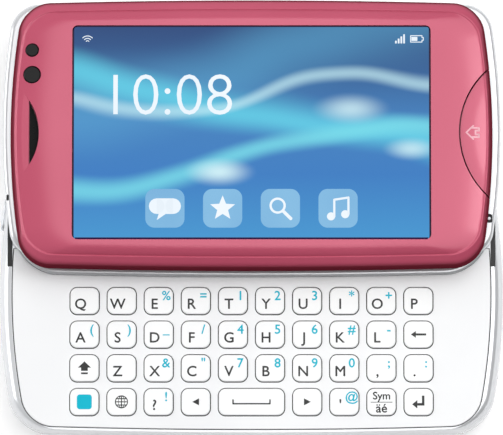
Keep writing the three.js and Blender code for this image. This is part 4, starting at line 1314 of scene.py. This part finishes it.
window_shape = crowned(outline(WINDOW_LENGTH, WINDOW_WIDTH, WINDOW_CORNER),
                       [station(WINDOW_LOW.z)], station(WINDOW_TOP - WINDOW_EDGE),
                       station(WINDOW_TOP - WINDOW_DROP, WINDOW_EDGE), steps=3)
window = made("screen_window", window_shape, SLIDER_MIDDLE)
finished(window, picture_finish(), "upper_half", ["touch_window"])

# Screen signs
# What the lit screen shows: a thin clock in plain numbers, status marks along the top and a row
# of four picture buttons. They are layers of light a few micrometres over the window's face.

SIGN_BOTTOM = WINDOW_TOP - 0.03 * MM
TILE_LAYER = (SIGN_BOTTOM, WINDOW_TOP - 0.014 * MM)
SIGN_LAYER = (SIGN_BOTTOM, WINDOW_TOP - 0.006 * MM)
CLOCK_HEIGHT = 7.6 * MM
CLOCK_PLACE = (-14.5 * MM, 7.0 * MM)
CLOCK_THINNING = -0.012
STATUS_Y = 17.4 * MM
STATUS_LINE = 0.16 * MM
STATUS_CORNER = 0.05 * MM
SIGNAL_BARS = 4
SIGNAL_X = 26.6 * MM
SIGNAL_DROP = 0.85 * MM
SIGNAL_PITCH = 0.5 * MM
SIGNAL_WIDTH = 0.32 * MM
SIGNAL_LOWEST = 0.5 * MM
SIGNAL_RISE = 0.4 * MM
BATTERY_X = 30.4 * MM
BATTERY_CASE = [(-1.1, -0.6), (1.0, -0.6), (1.0, -0.25), (1.25, -0.25), (1.25, 0.25), (1.0, 0.25),
                (1.0, 0.6), (-1.1, 0.6), (-1.1, -0.6)]
CHARGE_SIZE = (1.1 * MM, 0.75 * MM)
CHARGE_X = BATTERY_X - 0.4 * MM
WAVES_PLACE = (-30.2 * MM, STATUS_Y - 0.7 * MM)
WAVE_RADII = [0.35, 0.8, 1.25]
WAVE_STEPS = 6
TILES = 4
TILE_SIZE = 7.2 * MM
TILE_CORNER = 1.7 * MM
TILE_Y = -14.2 * MM
TILE_PITCH = 10.6 * MM


def light_finish(name, dim, bright):
    """A layer of light: its colour drifts a little, and it throws back none of the room."""
    material = moulded(name, dim, bright, 0.3)
    shown = colour_of(material)
    material.node_tree.links.remove(shown.links[0])
    return tuned(material, {"Base Color": tone(20, 24, 30), "Emission Color": shown,
                            "Emission Strength": SCREEN_LIGHT})


def on_screen(name, shapes, light):
    """Puts shapes on the screen as one layer of light."""
    finished(made(name, gathered(shapes), SLIDER_MIDDLE), light, "upper_half",
             sharp=0)


light_white = light_finish("light_white", tone(228, 240, 250), tone(244, 249, 253))
tile_blue = light_finish("tile_blue", tone(96, 164, 212), tone(126, 188, 226))
on_screen("screen_clock", [letters("10:08", CLOCK_HEIGHT, SIGN_LAYER, *CLOCK_PLACE,
                                   thick=CLOCK_THINNING)], light_white)

status = []
for number in range(SIGNAL_BARS):
    bar_height = SIGNAL_LOWEST + SIGNAL_RISE * number
    bar = slab(SIGNAL_WIDTH, bar_height, STATUS_CORNER, *SIGN_LAYER)
    status.append(moved(bar, SIGNAL_X + SIGNAL_PITCH * number,
                        STATUS_Y - SIGNAL_DROP + bar_height / 2))
status.append(moved(stroke(BATTERY_CASE, STATUS_LINE, SIGN_LAYER), BATTERY_X, STATUS_Y))
status.append(moved(slab(*CHARGE_SIZE, STATUS_CORNER, *SIGN_LAYER), CHARGE_X, STATUS_Y))
for radius in WAVE_RADII:
    angles = [math.pi / 4 + math.pi / 2 * step / WAVE_STEPS for step in range(WAVE_STEPS + 1)]
    points = [(radius * math.cos(angle), radius * math.sin(angle)) for angle in angles]
    status.append(moved(stroke(points, STATUS_LINE, SIGN_LAYER), *WAVES_PLACE))
on_screen("screen_status", status, light_white)

tile_places = [((number - (TILES - 1) / 2) * TILE_PITCH, TILE_Y) for number in range(TILES)]
tiles = [moved(slab(TILE_SIZE, TILE_SIZE, TILE_CORNER, *TILE_LAYER), *place)
         for place in tile_places]
on_screen("screen_tiles", tiles, tile_blue)

BUBBLE_HEIGHT = 2.9 * MM
GLASS_RADIUS = 1.5 * MM
GLASS_LINE = 0.42 * MM
GLASS_PLACE = (-0.5 * MM, 0.5 * MM)
HANDLE_WIDTH = 0.6 * MM
HEAD_RADIUS = 0.75 * MM
STEM_WIDTH = 0.4 * MM


def speech_bubble():
    """A rounded bubble with a tail."""
    return gathered([stroke([(-1.5, 0.4), (1.5, 0.4)], BUBBLE_HEIGHT, SIGN_LAYER),
                     cutout([(-1.0, -0.6), (-1.5, -2.2), (0.5, -0.8)], SIGN_LAYER)])


def star(points=5, outer=2.4, inner=1.05):
    """A star, its radii given in millimetres."""
    corners = []
    for corner in range(2 * points):
        radius = inner if corner % 2 else outer
        angle = math.pi / 2 + math.pi * corner / points
        corners.append((radius * math.cos(angle), radius * math.sin(angle)))
    return cutout(corners, SIGN_LAYER)


def magnifier():
    """A ring with a handle."""
    glass = moved(ring(GLASS_RADIUS, GLASS_LINE, SIGN_LAYER), *GLASS_PLACE)
    return gathered([glass, stroke([(0.6, -0.6), (1.9, -1.9)], HANDLE_WIDTH, SIGN_LAYER)])


def note():
    """Two heads with their stems and a beam."""
    heads = [disc(HEAD_RADIUS, x * MM, y * MM, *SIGN_LAYER, steps=24)
             for x, y in ((-1.3, -1.5), (1.3, -1.1))]
    beam = stroke([(-0.7, -1.5), (-0.7, 1.6), (1.9, 2.0), (1.9, -1.1)], STEM_WIDTH, SIGN_LAYER)
    return gathered([*heads, beam])


buttons = [moved(draw(), *place)
           for place, draw in zip(tile_places, (speech_bubble, star, magnifier, note))]
on_screen("screen_buttons", buttons, light_white)

# Earpiece
# A black crescent at the left end. Its grille is a thin plate of pierced steel, lacquered black
# and backed with black felt, held in the recess with the earpiece's capsule behind it.

GRILLE_GAP = 0.12 * MM
GRILLE_BOTTOM = EAR_FLOOR + 0.1 * MM
GRILLE_TOP = GRILLE_BOTTOM + 0.4 * MM
GRILLE_FELT = 0.15 * MM
GRILLE_HOLE_RADIUS = 0.16 * MM
GRILLE_PITCH = 0.55 * MM
GRILLE_ROWS = 10
GRILLE_FIRST = EAR_LEFT + 1.6 * GRILLE_PITCH
GRILLE_HOLE_REACH = EAR_RADIUS - 1.5 * GRILLE_PITCH

grille = made("earpiece_plate", crescent(EAR_RADIUS - GRILLE_GAP, EAR_LEFT + GRILLE_GAP,
                                         GRILLE_BOTTOM, GRILLE_TOP), SLIDER_MIDDLE)
grille_holes = []
for row in range(-GRILLE_ROWS, GRILLE_ROWS + 1):
    hole_y = row * GRILLE_PITCH
    hole_x = GRILLE_FIRST + (row % 2) * GRILLE_PITCH / 2
    last_x = EAR_RIGHT - EAR_RADIUS + math.sqrt(GRILLE_HOLE_REACH ** 2 - hole_y ** 2)
    while hole_x < last_x:
        grille_holes.append(disc(GRILLE_HOLE_RADIUS, hole_x, hole_y, GRILLE_BOTTOM + GRILLE_FELT,
                                 GRILLE_TOP + OVERRUN, steps=8))
        hole_x += GRILLE_PITCH
cut(grille, [made("grille_holes", gathered(grille_holes), SLIDER_MIDDLE)])
grille_black = moulded("grille_black", tone(6, 6, 7), tone(12, 12, 13), 0.6)
tuned(grille_black, {"Specular IOR Level": 0.2})
finished(grille, grille_black, "upper_half", ["earpiece_grille"])

# Sensor window
# One strip of smoked acrylic with two round lenses that stand in holes in the cover, over the
# light sensor and the proximity sensor.

SENSOR_LOW, SENSOR_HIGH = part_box("sensor_window")
SENSOR_RISE = 0.06 * MM
SENSOR_EDGE = 0.14 * MM
SENSOR_TOP = min(SENSOR_HIGH.z, cover_height(SENSOR_X, 0) + SENSOR_RISE)
STRIP_WIDTH = 2.6 * MM
STRIP_CORNER = 0.5 * MM
STRIP_TOP = SENSOR_LOW.z + 0.7 * MM
strip = slab(STRIP_WIDTH, SENSOR_HIGH.y - SENSOR_LOW.y, STRIP_CORNER, SENSOR_LOW.z, STRIP_TOP)
sensor_shapes = [moved(strip, SENSOR_X, at_node("sensor_window")[1] - SLIDER_MIDDLE)]
for sensor_y, radius in SENSORS:
    sensor_profile = [(0, STRIP_TOP - SEAM), (radius, STRIP_TOP - SEAM),
                      (radius, SENSOR_TOP - SENSOR_EDGE),
                      (radius - SENSOR_EDGE / 2, SENSOR_TOP - SENSOR_EDGE / 3),
                      (radius - SENSOR_EDGE, SENSOR_TOP), (0, SENSOR_TOP)]
    sensor_shapes.append(turned(sensor_profile, SENSOR_X, sensor_y))
smoked = moulded("smoked_glass", tone(16, 16, 16), tone(22, 23, 22), 0.12)
tuned(smoked, {"Specular IOR Level": 0.15})
finished(made("sensor_lenses", gathered(sensor_shapes), SLIDER_MIDDLE), smoked,
         "upper_half", ["sensor_window"])

# Studio
# A plain white floor, a large soft lamp overhead with a small one to its right, a low one on the
# left, a sky that is lightest on the left and at the rear, and the camera over the keyboard.

CAMERA_TILT = math.radians(9)
CAMERA_LENS = 600
CAMERA_SENSOR = 36
CAMERA_RANGE = (0.01, 10)
VIEW_WIDTH = 92.84 * MM
VIEW_CENTRE = Vector((0, 0, 9.6 * MM))
camera_data = bpy.data.cameras.new("camera")
camera_data.lens = CAMERA_LENS
camera_data.sensor_width = CAMERA_SENSOR
camera_data.clip_start, camera_data.clip_end = CAMERA_RANGE
camera = bpy.data.objects.new("camera", camera_data)
bpy.context.collection.objects.link(camera)
camera_side = Vector((0, -math.sin(CAMERA_TILT), math.cos(CAMERA_TILT)))
camera.location = VIEW_CENTRE + camera_side * VIEW_WIDTH * CAMERA_LENS / CAMERA_SENSOR
camera.rotation_euler = (CAMERA_TILT, 0, 0)
scene = bpy.context.scene
scene.camera = camera
scene.view_settings.view_transform = "Standard"

FLOOR_SIZE = 4.0
FLOOR_DROP = 0.02 * MM
FLOOR_LIFT = 0.36
floor_shape = bmesh.new()
bmesh.ops.create_grid(floor_shape, x_segments=1, y_segments=1, size=FLOOR_SIZE / 2)
floor = made("floor", moved(floor_shape, z=-FLOOR_DROP))


def floor_finish():
    """Matt white paper, which the camera and all glossy and clear surfaces see a little lighter."""
    material = bpy.data.materials.new("floor_paper")
    material.use_nodes = True
    tree = material.node_tree
    rays = tree.nodes.new("ShaderNodeLightPath").outputs
    seen = node_value(tree, "MAXIMUM", rays["Is Camera Ray"], rays["Is Glossy Ray"])
    seen = node_value(tree, "MAXIMUM", seen, rays["Is Transmission Ray"])
    return tuned(material, {"Base Color": tone(236, 236, 236), "Roughness": 0.9,
                            "Emission Color": (1, 1, 1, 1),
                            "Emission Strength": node_value(tree, "MULTIPLY", seen, FLOOR_LIFT)})


floor.data.materials.append(floor_finish())


def lamp(name, place, size, watts):
    """A square soft lamp that looks at the phone."""
    light = bpy.data.lights.new(name, "AREA")
    light.shape = "SQUARE"
    light.size = size
    light.energy = watts
    thing = bpy.data.objects.new(name, light)
    thing.location = place
    thing.rotation_mode = "QUATERNION"
    thing.rotation_quaternion = (-Vector(place)).to_track_quat("-Z", "Y")
    bpy.context.collection.objects.link(thing)


lamp("lamp_overhead", (0.25, 0.12, 0.74), size=0.85, watts=4.05)
lamp("lamp_right", (0.44, 0.12, 0.71), size=0.25, watts=0.8)
lamp("lamp_left", (-0.9, 0.1, 0.3), size=0.5, watts=2.6)

SKY_MIDDLE = 0.36
SKY_DARKEST = 0.12
SKY_SLANT = (-0.25, 0.25, 0.05)
world = bpy.data.worlds.new("studio")
world.use_nodes = True
scene.world = world
sky_tree = world.node_tree
direction = sky_tree.nodes.new("ShaderNodeTexCoord").outputs["Generated"]
slant = sky_tree.nodes.new("ShaderNodeVectorMath")
slant.operation = "DOT_PRODUCT"
filled(sky_tree, slant, {0: direction, 1: SKY_SLANT})
sky = node_value(sky_tree, "ADD", slant.outputs["Value"], SKY_MIDDLE)
sky = node_value(sky_tree, "MAXIMUM", sky, SKY_DARKEST)
filled(sky_tree, sky_tree.nodes["Background"], {"Color": (1, 1, 1, 1), "Strength": sky})
